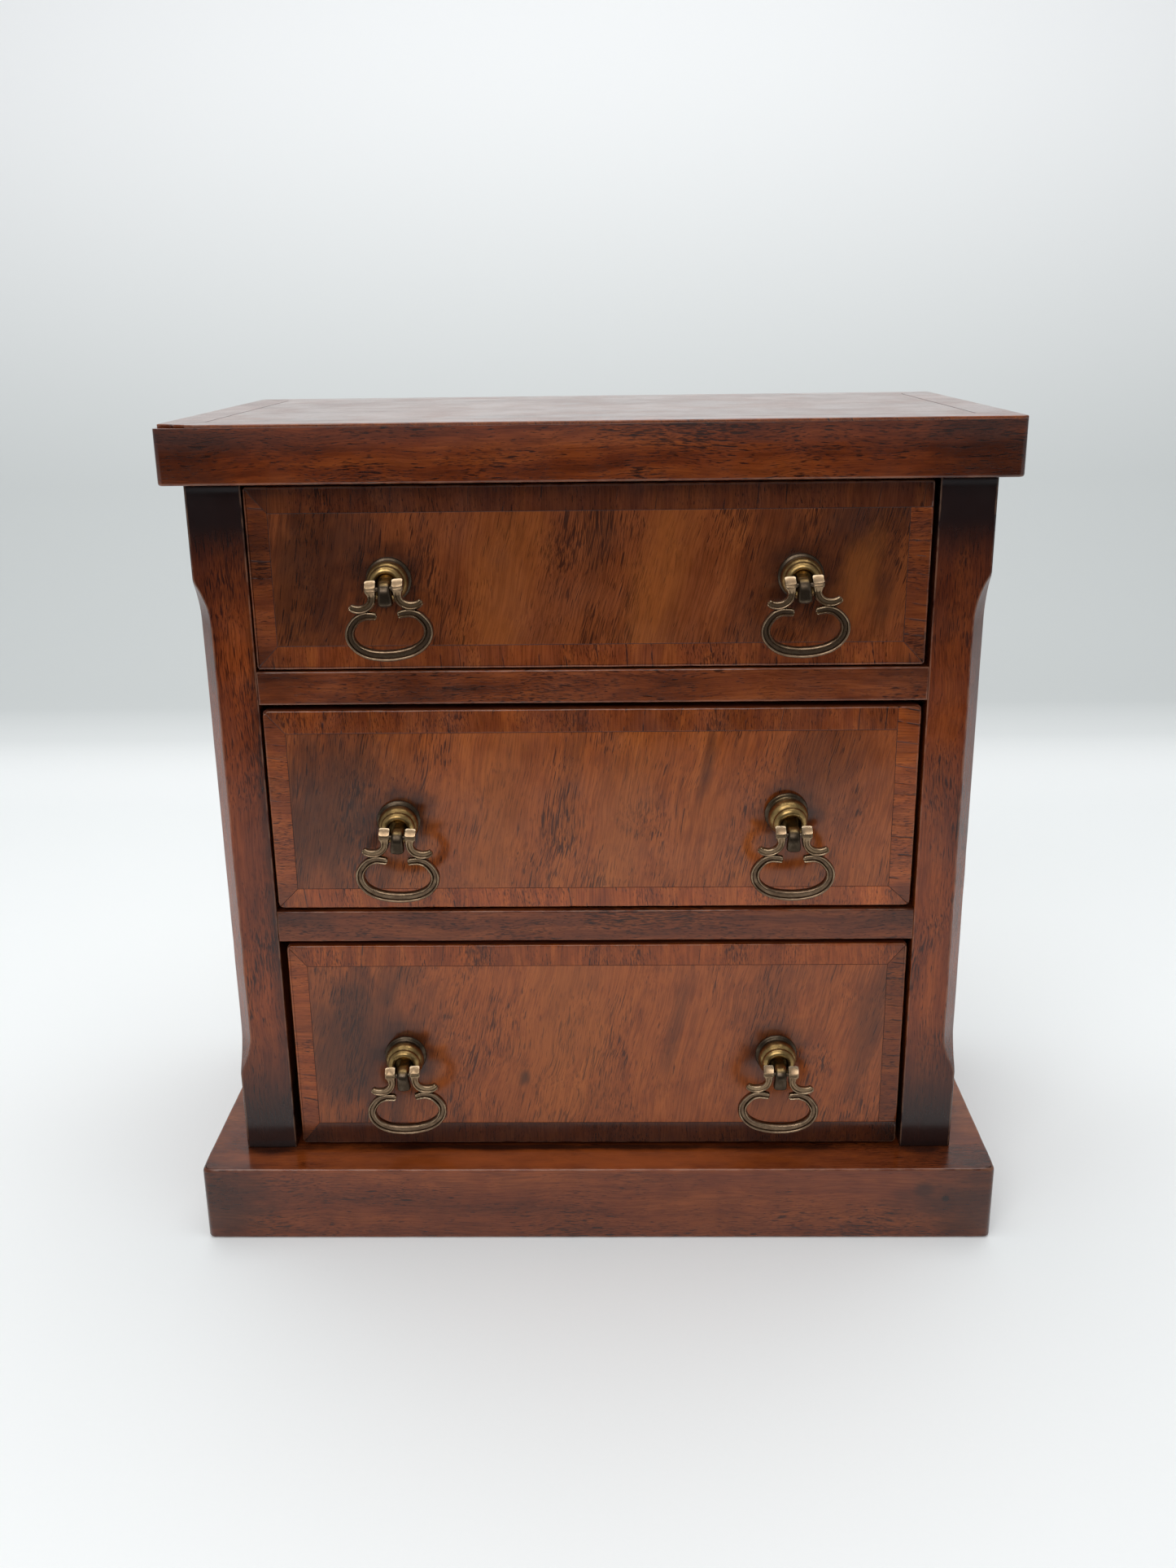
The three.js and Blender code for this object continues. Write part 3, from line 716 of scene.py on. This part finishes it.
def chamfered_side(name, hand, look):
    """A side board with a stopped chamfer down its outer front corner, run out in a curve at each end."""
    low, high = box_mm(name)
    on_front, on_side = 4.4, 6.2
    foot, head, run_out, curl = low.z + 27.0, high.z - 27.0, 15.0, 7.0
    least = 0.1
    levels = [(low.z + z, least) for z in (0.0, 0.15, 0.4, 3.0, 9.0, 15.0, 21.0, 25.0)]
    bends = [k / 10 for k in range(11)]
    curve = [(2 * t * (1 - t) * curl + t * t * run_out, max(least, 2 * t * (1 - t) + t * t)) for t in bends]
    levels += [(foot + rise, depth) for rise, depth in curve]
    straight = 18
    bottom, top = foot + run_out, head - run_out
    levels += [(bottom + (top - bottom) * k / straight, 1.0) for k in range(1, straight)]
    levels += [(head - rise, depth) for rise, depth in reversed(curve)]
    levels += [(high.z - z, least) for z in (25.0, 21.0, 15.0, 9.0, 3.0, 0.4, 0.15, 0.0)]
    inner, outer = (low.x, high.x) if hand > 0 else (high.x, low.x)
    rings, marks = [], []
    for z, depth in levels:
        ragged = 1.0 + 0.05 * noise.noise(Vector((z * 0.15, hand * 5.0, 0.0)))
        corners = [
            (Vector((inner, low.y)), 0.45), (Vector((outer - hand * on_front * depth * ragged, low.y)), 0.4),
            (Vector((outer, low.y + on_side * depth * ragged)), 0.4), (Vector((outer, high.y)), 0.6),
            (Vector((inner, high.y)), 0.4),
        ]
        end = min(z - low.z, high.z - z)
        shrink = 0.3 * (1.0 - min(1.0, end / 0.4)) ** 2
        ring, mark = [], []
        for i, (here, radius) in enumerate(corners):
            before, after = corners[i - 1][0], corners[(i + 1) % len(corners)][0]
            reach = min(radius, 0.45 * (before - here).length, 0.45 * (after - here).length)
            start = here + (before - here).normalized() * reach
            stop = here + (after - here).normalized() * reach
            outside, beyond = (
                here + (other - here).normalized() * (reach + min(SUPPORT, 0.2 * (other - here).length))
                for other in (before, after)
            )
            ring += [outside, start]
            mark += [0.0, 0.3]
            for t in (0.25, 0.5, 0.75):
                ring.append(start.lerp(here, t).lerp(here.lerp(stop, t), t))
                mark.append(1.0)
            ring += [stop, beyond]
            mark += [0.3, 0.0]
        middle = Vector(((low.x + high.x) / 2, (low.y + high.y) / 2))
        ring = [p + (middle - p).normalized() * shrink for p in ring]
        rings.append([Vector((p.x, p.y, z)) * MM for p in ring])
        marks += mark
    skin(f"{name}_shaped", rings, look, "carcass", replaces=(name,), slot="mahogany", arris=marks)


# Painted shadow of the top on the fronts of the sides, deepening up to the top, and darkening above the base:
# from one height to another, and strength
SIDE_SHADOW_AND_DARKENING = {
    "left_side": ((184, 214, 0.45), (212, 229, 0.97), (78, 33, 0.94)),
    "right_side": ((110, 150, 0.16), (166, 210, 0.42), (210, 229, 0.97), (78, 33, 0.95)),
}

# Dirt along the inner edge of the left stile
edge_low, edge_high = box_mm("left_side")
SIDE_STAINS = {"left_side": (((edge_high.x + 0.6, edge_low.y, 132), (4.2, 8, 130), 0.62),), "right_side": ()}

for hand, side in ((-1, "left_side"), (1, "right_side")):
    side_look = wood(f"{side}_mahogany", ALONG_Z, STILE_RED, seed=6.0 + hand, figure=(100, 9), flecks=0.9,
                     blur=0.12, shadow_and_darkening=SIDE_SHADOW_AND_DARKENING[side], patches=SIDE_STAINS[side], shine=0.42)
    chamfered_side(side, hand, side_look)

# ---------------- veneered panels


def leaf_outlines(x0, x1, z0, z1, widths, joints, corner):
    """The field and the four crossbands of a panel, each as (corners, seams).

    widths are those of the left, right, lower and upper bands. joints says, for the lower left, lower right,
    upper right and upper left corner, which band runs through: "flat", "side", or "mitre" for neither.
    """
    left, right, lower, upper = widths
    ix0, ix1, iz0, iz1 = x0 + left, x1 - right, z0 + lower, z1 - upper
    steps = 4
    half = steps // 2
    rounded = rectangle(x0, x1, z0, z1, corner, steps)
    # From the lower left corner, anticlockwise
    arcs = [rounded[k * (steps + 1):(k + 1) * (steps + 1)] for k in (3, 0, 1, 2)]
    inner = rectangle(ix0, ix1, iz0, iz1)
    # Where a through band ends on the outer edge of the one that it crosses
    crossing = {"flat": rectangle(x0, x1, iz0, iz1), "side": rectangle(ix0, ix1, z0, z1)}
    bands = {}
    # Each band runs anticlockwise from one corner to the next: lower, right, upper, left
    for k, name in enumerate(("lower_band", "right_band", "upper_band", "left_band")):
        mine, other = ("flat", "side") if k % 2 == 0 else ("side", "flat")
        first, second = k, (k + 1) % 4
        points = []
        if joints[first] == "mitre":
            points += arcs[first][half:]
        elif joints[first] == mine:
            points += [crossing[mine][first]] + arcs[first]
        else:
            points += [crossing[other][first]]
        if joints[second] == "mitre":
            points += arcs[second][:half + 1]
        elif joints[second] == mine:
            points += arcs[second] + [crossing[mine][second]]
        else:
            points += [crossing[other][second]]
        outer = [True] * (len(points) - 1) + [False]
        points += [inner[second], inner[first]]
        outer += [False, False]
        bands[name] = (points, outer)
    bands["field"] = (inner, [False] * 4)
    return bands


def veneered(prefix, box, place, thickness, body, node, widths, joints, looks, radius=0.55, corner=1.0,
             seam=0.05, chip=None):
    """A panel of five leaves of veneer, with fine seams. looks maps each leaf's name to its material."""
    x0, x1, z0, z1 = box

    def drop(point):
        reach = min(point.x - x0, x1 - point.x, point.y - z0, z1 - point.y)
        if reach >= radius:
            return 0.0
        return radius * (1.0 - math.sqrt(max(0.0, 1.0 - (1.0 - max(reach, 0.0) / radius) ** 2)))

    leaves = leaf_outlines(x0, x1, z0, z1, widths, joints, corner)
    if chip:
        leaves = chip(leaves)
    for index, (leaf, (points, outer)) in enumerate(leaves.items()):
        trimmed = inset(points, [0.0 if edge else seam / 2 for edge in outer])
        seams = [None if edge else seam for edge in outer]
        slab(f"{prefix}_{leaf}", trimmed, place, thickness, looks[leaf], body, radius=radius, back_radius=0.0,
             seams=seams, drop=drop, step=2.5, wear=0.3, seed=index * 3.1, slot="veneer",
             replaces=(node,) if leaf == "field" else ())


FIELD = ((0.17, 0.038, 0.008), (0.32, 0.076, 0.013), (0.46, 0.125, 0.022))
BAND = ((0.20, 0.039, 0.008), (0.31, 0.068, 0.011), (0.42, 0.105, 0.017))
# How light each drawer's field and bands are: painted light and shade, with the upper drawer darker as in the
# top's shadow and its upper band darkest, the lower drawers lighter as if lit by the floor, and the lower
# drawer's lower band darker still
PAINTED_LIGHT_SHADES = {
    "upper": {"field": 0.62, "lower_band": 0.68, "right_band": 0.6, "upper_band": 0.32, "left_band": 0.58},
    "middle": {"field": 0.92, "lower_band": 1.14, "right_band": 0.92, "upper_band": 0.7, "left_band": 0.8},
    "lower": {"field": 0.99, "lower_band": 0.22, "right_band": 0.6, "upper_band": 0.9, "left_band": 0.88},
}
# Cracks across each kind of band: axis, spacing, slant, share that are open
BAND_CRACKS = {
    "lower_band": ("X", 9, 0.12, 0.55), "upper_band": ("X", 10, -0.1, 0.5),
    "left_band": ("Z", 6, 0.1, 0.6), "right_band": ("Z", 4.5, 0.12, 0.8),
}
# What old polish adds to the colour of each drawer's wood
POLISH = {"upper": (0.002, 0.004, 0.0055), "middle": (0.0, 0.002, 0.003), "lower": (0.0, 0.001, 0.002)}
# How strongly the polish of each drawer mirrors the room
FIELD_SHINE = {"upper": 0.53, "middle": 0.46, "lower": 0.44}
BAND_SHINE = {"upper": 0.51, "middle": 0.46, "lower": 0.39}


def shaded(colours, amount, lift=(0.0, 0.0, 0.0)):
    """The same colours made darker, and then lifted."""
    return tuple(tuple(c * amount + more for c, more in zip(colour, lift)) for colour in colours)


def drawer_looks(name, seed, patches, band_patches):
    # Each drawer's lightness is painted light and shade
    painted_shades, lift = PAINTED_LIGHT_SHADES[name], POLISH[name]
    looks = {
        "field": wood(f"{name}_field", slanting(GRAIN_ANGLE[name]), shaded(FIELD, painted_shades["field"], lift),
                      seed=seed, figure=(60, 9), flecks=0.85, fleck_size=(9, 0.5), blur=0.06, patches=patches,
                      contrast=0.27, shine=FIELD_SHINE[name]),
    }
    for leaf, cracks in BAND_CRACKS.items():
        turn = ALONG_Z if cracks[0] == "X" else ALONG_X
        looks[leaf] = wood(f"{name}_{leaf}", turn, shaded(BAND, painted_shades[leaf], lift),
                           seed=seed + len(leaf) * 0.37, figure=(20, 4.0), flecks=0.8, fleck_size=(3.0, 0.5),
                           blur=0.12, cracks=cracks, patches=band_patches, shine=BAND_SHINE[name])
    return looks


# Crossband widths: left, right, lower, upper; and the corners from the lower left, anticlockwise
BAND_WIDTHS = {"upper": (6.5, 6.5, 6.9, 7.5), "middle": (6.4, 6.8, 6.4, 7.1), "lower": (6.0, 5.8, 7.5, 7.0)}
CORNER_JOINTS = {
    "upper": ("mitre", "mitre", "flat", "mitre"),
    "middle": ("mitre", "mitre", "side", "mitre"),
    "lower": ("mitre", "flat", "mitre", "mitre"),
}
CORNER_RADIUS = {"upper": 1.0, "middle": 1.9, "lower": 1.4}
GRAIN_ANGLE = {"upper": 77, "middle": 80, "lower": 78}

# Patches on the fields: how far across and up, size along and across the grain in millimetres, strength, and
# the tint of those that aren't dark
PALE = (0.36, 0.105, 0.019)
FIELD_STAINS = {
    "upper": (
        (0.10, 0.60, 46, 24, 0.66), (0.52, 0.75, 26, 5, 0.24), (0.77, 0.56, 50, 11, 0.38),
        (0.90, 0.70, 40, 22, 0.62), (0.38, 0.55, 50, 13, 0.22, PALE), (0.60, 0.42, 46, 10, 0.30, PALE),
        (0.90, 0.50, 18, 8, 0.35, PALE),
    ),
    "middle": (
        (0.08, 0.50, 46, 30, 0.68), (0.47, 0.70, 30, 5, 0.22), (0.68, 0.74, 17, 2.4, 0.5),
        (0.85, 0.70, 34, 18, 0.42), (0.35, 0.45, 50, 10, 0.20, PALE), (0.55, 0.45, 60, 10, 0.22, PALE),
    ),
    "lower": (
        (0.10, 0.50, 46, 32, 0.68), (0.63, 0.60, 30, 3, 0.34), (0.78, 0.60, 50, 12, 0.25),
        (0.95, 0.60, 36, 9, 0.45), (0.38, 0.34, 4, 2.6, 0.85), (0.45, 0.55, 60, 20, 0.25, PALE),
    ),
}


def field_stain(drawer, low, high, across, up, long, broad, strength, tint=STAIN):
    place = (low.x + across * (high.x - low.x), low.y, low.z + up * (high.z - low.z))
    return (place, (long, broad, broad), strength, tint, slanting(GRAIN_ANGLE[drawer]))


for drawer in DRAWERS:
    low, high = box_mm(f"{drawer}_drawer_facing")
    face = low.y
    patches = [field_stain(drawer, low, high, *values) for values in FIELD_STAINS[drawer]]
    # Dirt round each boss, and darker corners, most at the feet of the lower drawer
    for hand in HANDS:
        boss = middle_mm(f"{drawer}_{hand}_boss")
        patches.append(((boss.x, face, boss.z), (13, 14, 13), 0.78))
    foot = 0.8 if drawer == "lower" else 0.5
    band_patches = [((low.x, face, low.z), (12, 6, 10), foot), ((high.x, face, low.z), (10, 6, 9), foot),
                   ((low.x, face, high.z), (10, 6, 8), 0.4), ((high.x, face, high.z), (9, 6, 7), 0.4)]
    # A painted shadow of the top, down the upper drawer's left band near its top
    if drawer == "upper":
        band_patches.append(((low.x + 3, face, high.z - 16), (7, 6, 18), 0.5))
    looks = drawer_looks(drawer, 11.0 + 7.0 * DRAWERS.index(drawer), patches, band_patches)
    veneered(f"{drawer}_facing", (low.x, high.x, low.z, high.z), facing_out(high.y), high.y - low.y,
             f"{drawer}_drawer", f"{drawer}_drawer_facing", BAND_WIDTHS[drawer], CORNER_JOINTS[drawer], looks,
             corner=CORNER_RADIUS[drawer])

    box_look = wood(f"{drawer}_box_wood", ALONG_Y, SECONDARY, seed=31.0 + len(drawer), gloss=(0.5, 0.7),
                    flecks=0.8, figure=(120, 4))
    bottom_look = wood(f"{drawer}_bottom_wood", ALONG_X, SECONDARY, seed=41.0 + len(drawer),
                       gloss=(0.55, 0.75), flecks=0.8, figure=(120, 4))
    body = f"{drawer}_drawer"
    for side in ("left_side", "right_side"):
        board(f"{drawer}_drawer_{side}", "X", box_look, body, "secondary_wood", radius=0.4)
    board(f"{drawer}_drawer_bottom", "Z", bottom_look, body, "secondary_wood", radius=0.25)
    board(f"{drawer}_drawer_back", "Y", bottom_look, body, "secondary_wood", radius=0.4)
    front_look = wood(f"{drawer}_front_mahogany", ALONG_X, DARK_RED, seed=51.0 + len(drawer), figure=(90, 8),
                      gloss=(0.5, 0.7))
    front_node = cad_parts[f"{drawer}_drawer_front"]
    front_node.data.materials.clear()
    front_node.data.materials.append(front_look)

TOP_GLOSS = (0.1, 0.2)
TOP_BANDS = {
    "lower_band": (ALONG_Y, ("X", 9, 0.3, 0.6)), "upper_band": (ALONG_Y, ("X", 11, 0.3, 0.4)),
    "left_band": (ALONG_X, ("Y", 10, 0.3, 0.4)), "right_band": (ALONG_X, ("Y", 10, 0.3, 0.5)),
}
top_looks = {"field": wood("top_field", ALONG_X, shaded(FIELD, 0.6), seed=61.0, figure=(80, 9), flecks=0.9,
                           fleck_size=(9, 0.6), blur=0.12, gloss=TOP_GLOSS)}
for leaf, (turn, cracks) in TOP_BANDS.items():
    top_looks[leaf] = wood(f"top_{leaf}", turn, shaded(BAND, 0.62), seed=62.0 + len(leaf), figure=(20, 3.5),
                           flecks=0.7, cracks=cracks, gloss=TOP_GLOSS)


def chipped(leaves):
    """The front left corner of the veneer has broken away, along a ragged line through both leaves."""
    left_edge, left_inside = Vector((veneer_low.x, -56.6)), Vector((-117.0, -58.0))
    # The mitre meets the break here
    meeting = Vector((-115.2, -59.3))
    front_inside = [Vector((-113.8, -60.4)), Vector((-111.2, -61.2))]
    front_edge = Vector((-110.6, veneer_low.y))
    *points, inner_right, inner_left = leaves["lower_band"][0]
    front = [front_edge] + [p for p in points if p.x > 0]
    leaves["lower_band"] = (
        front + [inner_right, inner_left, meeting] + front_inside,
        [True] * (len(front) - 1) + [False, False, False, True, True, True],
    )
    *points, inner_front, inner_back = leaves["left_band"][0]
    left = [p for p in points if p.y > 0] + [left_edge, left_inside, meeting]
    leaves["left_band"] = (left + [inner_front, inner_back], [True] * (len(left) - 1) + [False] * 3)
    return leaves


veneer_low, veneer_high = box_mm("top_veneer")
veneered("top_veneer", (veneer_low.x, veneer_high.x, veneer_low.y, veneer_high.y), facing_up(veneer_low.z),
         veneer_high.z - veneer_low.z, "carcass", "top_veneer", (12, 12, 12, 12), ("mitre",) * 4, top_looks,
         radius=0.35, corner=1.8, seam=0.14, chip=chipped)

# ---------------- drop handles

# Turned profile of a boss: radius, and distance out from the drawer front
BOSS_PROFILE = (
    (6.3, 0.0), (6.55, 0.12), (6.6, 0.35), (6.55, 0.6), (6.3, 0.82), (5.9, 0.95), (5.6, 1.15), (5.42, 1.45),
    (5.46, 1.75), (5.7, 2.05), (5.9, 2.45), (6.02, 2.95), (6.05, 3.5), (5.98, 4.1), (5.78, 4.7), (5.46, 5.2),
    (5.15, 5.5), (4.9, 5.75), (4.84, 5.95), (4.98, 6.12), (5.1, 6.35), (5.1, 6.65), (4.98, 6.95), (4.8, 7.2),
    (4.6, 7.45), (4.35, 7.66), (4.05, 7.82), (3.75, 7.92), (3.45, 7.94), (3.2, 7.85), (3.05, 7.6),
    (2.98, 7.2), (2.9, 6.7), (2.75, 6.3), (2.45, 6.05), (1.6, 5.95), (0.6, 5.9),
)
BOSS_SIDES = 56
# How the bosses sit: moved across and up in millimetres, and pointing down and to the right in degrees
BOSS_LEAN = {
    "upper_left": (-0.4, 0.0, 0.0, 2.0), "upper_right": (0.5, 0.0, 0.0, -2.0),
    "middle_left": (-1.2, 0.4, 2.0, 5.0), "middle_right": (-1.0, 2.5, 12.0, 5.5),
    "lower_left": (-0.7, 0.0, 0.0, 3.0), "lower_right": (-0.2, 0.0, 0.0, 1.0),
}
# How far each post is screwed past upright, anticlockwise from the front, in degrees
POST_TURN = {
    "upper_left": 4.0, "upper_right": 3.0, "middle_left": -2.0, "middle_right": 0.0,
    "lower_left": 4.0, "lower_right": -2.5,
}
# The thread at a post's inner end (from a crest to the next hollow, its depth, its width), the waist after it,
# the radius of its bend, and its tab. A place along a post is its distance out and up, and its thickness and
# width, in millimetres.
THREAD_STEP, THREAD_DEPTH, THREAD_WIDTH = 0.5, 0.25, 3.4
POST_WAIST = 3.1
POST_BEND = 1.9
POST_TAB = [(12.6, -2.8, 3.3, 3.95), (12.6, -3.8, 3.3, 4.1), (12.6, -4.6, 3.3, 4.1)]
# The pin in the visual model: how much shorter it is at each end, and how thick
PIN_SHORTER, PIN_THICK = 0.7, 1.3

# How far round each nut is turned, in radians
NUT_TURN = 0.52

# How steeply each pair of ears is cut off at the top
EAR_SLOPE = {"middle_left": 0.83, "lower_left": 0.72, "lower_right": 0.84}
EAR_SLOPE_USUAL = 0.87

# The bail, from its pivot: across, up, width in the plane, depth
ARM_PATH = (
    (3.85, 2.4, 3.0, 2.1), (3.85, 1.6, 3.1, 2.3), (3.85, 0.7, 3.1, 2.6), (3.75, -0.5, 2.75, 2.5),
    (3.65, -1.8, 2.4, 2.3), (3.85, -3.1, 2.3, 2.2), (4.7, -4.3, 2.35, 2.2), (6.1, -5.1, 2.4, 2.15),
    (7.7, -5.3, 2.4, 2.1), (9.0, -5.0, 2.25, 2.0), (9.8, -4.5, 2.0, 1.9),
)
RING_PATH = (
    (3.5, -7.5, 2.2, 2.0), (4.8, -7.3, 2.35, 2.1), (6.6, -7.25, 2.4, 2.2), (8.9, -8.25, 2.5, 2.4),
    (10.9, -10.9, 2.7, 2.5), (11.0, -13.6, 2.8, 2.5), (9.5, -16.1, 2.9, 2.6), (6.7, -17.9, 3.1, 2.6),
    (3.4, -18.75, 3.2, 2.6), (0.0, -19.0, 3.3, 2.6),
)
# The ring's section: places across its band, where -1 is the inner edge, and its beads' middle, half width
# and height
SECTION_PLACES = (
    1.0, 0.96, 0.86, 0.72, 0.56, 0.4, 0.29, 0.1, -0.12, -0.33, -0.44, -0.58, -0.72, -0.86, -0.96, -1.0,
)
RING_BEADS = ((0.64, 0.36, 1.0), (-0.66, 0.34, 0.86))


def beaded_section(valley=0.34, flat=0.0):
    """valley is the height between the beads. flat turns it from two beads into a bar with soft corners."""

    def depth(s):
        heights = [h * math.sqrt(max(0.0, 1.0 - ((s - c) / w) ** 2)) for c, w, h in RING_BEADS]
        bar = max(0.25, (1.0 - abs(s) ** 6) ** (1 / 6)) if abs(s) < 1.0 else 0.8
        return flat * bar + (1.0 - flat) * max(max(heights), valley)

    front = [(s, depth(s)) for s in SECTION_PLACES]
    front[0], front[-1] = (1.0, 0.3 + 0.5 * flat), (-1.0, 0.25 + 0.55 * flat)
    return front + [(s, -d) for s, d in reversed(front)]


SHARP_ANGLE = math.radians(48)


def united(meshes):
    """One closed mesh from several that overlap."""
    holders = [placed("part", mesh) for mesh in meshes]
    whole = holders[0]
    for other in holders[1:]:
        union = whole.modifiers.new("union", "BOOLEAN")
        union.operation = "UNION"
        union.solver = "EXACT"
        union.object = other
    bpy.context.view_layer.update()
    made = bpy.data.meshes.new_from_object(whole.evaluated_get(bpy.context.evaluated_depsgraph_get()))
    for holder in holders:
        bpy.data.objects.remove(holder)
    made.polygons.foreach_set("use_smooth", [True] * len(made.polygons))
    made.set_sharp_from_angle(angle=SHARP_ANGLE)
    return made


def bail_mesh(pivot, turned, seed, slope):
    """Two ears, two arms that curl out into toes, and the ring, open at the top."""
    front = Vector((0, -1, 0))

    def path(points, steps, hand):
        made = []
        for x, z, width, depth in smooth_path(points, steps):
            scale = (1.0 + 0.03 * noise.noise(Vector((x, z, seed)))) * MM
            made.append((turned(pivot + Vector((hand * x, 0.0, z)) * MM), width * scale, depth * scale))
        return made

    mirrored = [(-x, z, w, d) for x, z, w, d in reversed(RING_PATH[:-1])]
    ring = swept_rings(path(list(RING_PATH) + mirrored, 5, 1), beaded_section(), front)
    # A flat bar at the ear, then fluted like the ring
    fluted = lambda along: beaded_section(0.5, 1.0 - min(1.0, max(0.0, along - 0.2) / 0.2))
    arms = [swept_rings(path(ARM_PATH, 4, hand), fluted, front, (False, True), slope) for hand in (-1, 1)]
    return united([shell("shell", rings) for rings in [ring] + arms])


def make_handle(drawer, hand, seed):
    name = f"{drawer}_{hand}"
    body, swinging = f"{drawer}_drawer", f"{name}_bail"
    boss, pivot = middle_mm(f"{name}_boss"), middle_mm(f"{name}_pin")
    x, z, face = boss.x, boss.z, box_mm(f"{name}_boss")[1].y
    golden = brass(f"{name}_boss_brass", seed, GOLD, 0.13, ("Y", face - 4.2, face - 1.6))
    # The arms are painted lighter, as if lit, fading below the pivot into the ring's own bronze
    fade = ("Z", pivot.z - 4.0, pivot.z - 8.0)
    bronze = brass(f"{name}_bail_bronze", seed + 2.0, PAINTED_LIGHT_BRONZE, 0.12, fade, BRONZE)
    dull = brass(f"{name}_post_brass", seed + 3.0, GOLD, 0.12, ("Z", pivot.z + 2.0, pivot.z + 0.6))

    aside, raised, droop, swing = BOSS_LEAN[name]
    lean = Matrix.Rotation(math.radians(droop), 3, "X") @ Matrix.Rotation(math.radians(swing), 3, "Z")
    seat = Vector((x + aside, face, z + raised))
    centre = Vector((x, face, z)) * MM
    turn = Matrix.Rotation(math.radians(-POST_TURN[name]), 3, "Y")
    turned = lambda point: centre + turn @ (point - centre)
    around = [math.tau * k / BOSS_SIDES for k in range(BOSS_SIDES)]
    rings = [
        [(seat + lean @ Vector((r * math.cos(a), -out, r * math.sin(a)))) * MM for a in around]
        for r, out in BOSS_PROFILE
    ]
    skin(f"{name}_boss_turned", rings, golden, body, replaces=(f"{name}_boss",), slot="brass")

    tail = box_mm(f"{name}_post")[1].y - face
    spine = [(-tail, 0.0, THREAD_WIDTH, THREAD_WIDTH)]
    for k in range(1, 11):
        thick = THREAD_WIDTH - THREAD_DEPTH * (k % 2)
        spine.append((-tail + THREAD_STEP * k, 0.0, thick, thick))
    spine += [(-tail + 5.6, 0.0, POST_WAIST, POST_WAIST), (4.0, 0.6 * raised, 3.2, 3.2)]
    spine += [(7.0, 0.36 * raised, 3.3, 3.4), (9.6, 0.0, 3.3, 3.5)]
    for a in (math.radians(15 * k) for k in range(7)):
        spine.append((10.7 + POST_BEND * math.sin(a), -POST_BEND * (1 - math.cos(a)), 3.4, 3.6))
    path = [
        (turned(Vector((x, face - out, z + up)) * MM), thick * MM, wide * MM)
        for out, up, thick, wide in spine + POST_TAB
    ]
    rings = swept_rings(path, squared(3.6, 24), turn @ Vector((1, 0, 0)))
    skin(f"{name}_post_forged", rings, dull, body, replaces=(f"{name}_post",), slot="brass", flat_caps=False)

    nut_low, nut_high = box_mm(f"{name}_nut")
    radius = (nut_high.x - nut_low.x) / 2
    angles = [math.tau * k / 6 + NUT_TURN for k in range(6)]
    hexagon = [Vector((x + radius * math.cos(a), z + radius * math.sin(a))) for a in angles]
    place = lambda a, b, out: Vector((a, nut_low.y + out, b)) * MM
    slab(f"{name}_nut_shaped", hexagon, place, nut_high.y - nut_low.y, dull, body, radius=0.35,
         back_radius=0.1, replaces=(f"{name}_nut",), slot="brass", wear=0.0)

    half = box_mm(f"{name}_pin")[1].x - pivot.x - PIN_SHORTER
    places = [turned(Vector((pivot.x + s * half, pivot.y, pivot.z)) * MM) for s in (-1, -0.5, 0, 0.5, 1)]
    path = [(place, PIN_THICK * MM, PIN_THICK * MM) for place in places]
    skin(f"{name}_pin_drawn", swept_rings(path, squared(2, 16), Vector((0, -1, 0))), dull, swinging,
         replaces=(f"{name}_pin",), slot="brass", flat_caps=False)
    cast = bail_mesh(pivot * MM, turned, seed, EAR_SLOPE.get(name, EAR_SLOPE_USUAL))
    finish_piece(f"{name}_bail_cast", cast, bronze, swinging, (f"{name}_bail",))


for number, (drawer, hand) in enumerate((drawer, hand) for drawer in DRAWERS for hand in HANDS):
    make_handle(drawer, hand, 1.0 + number)
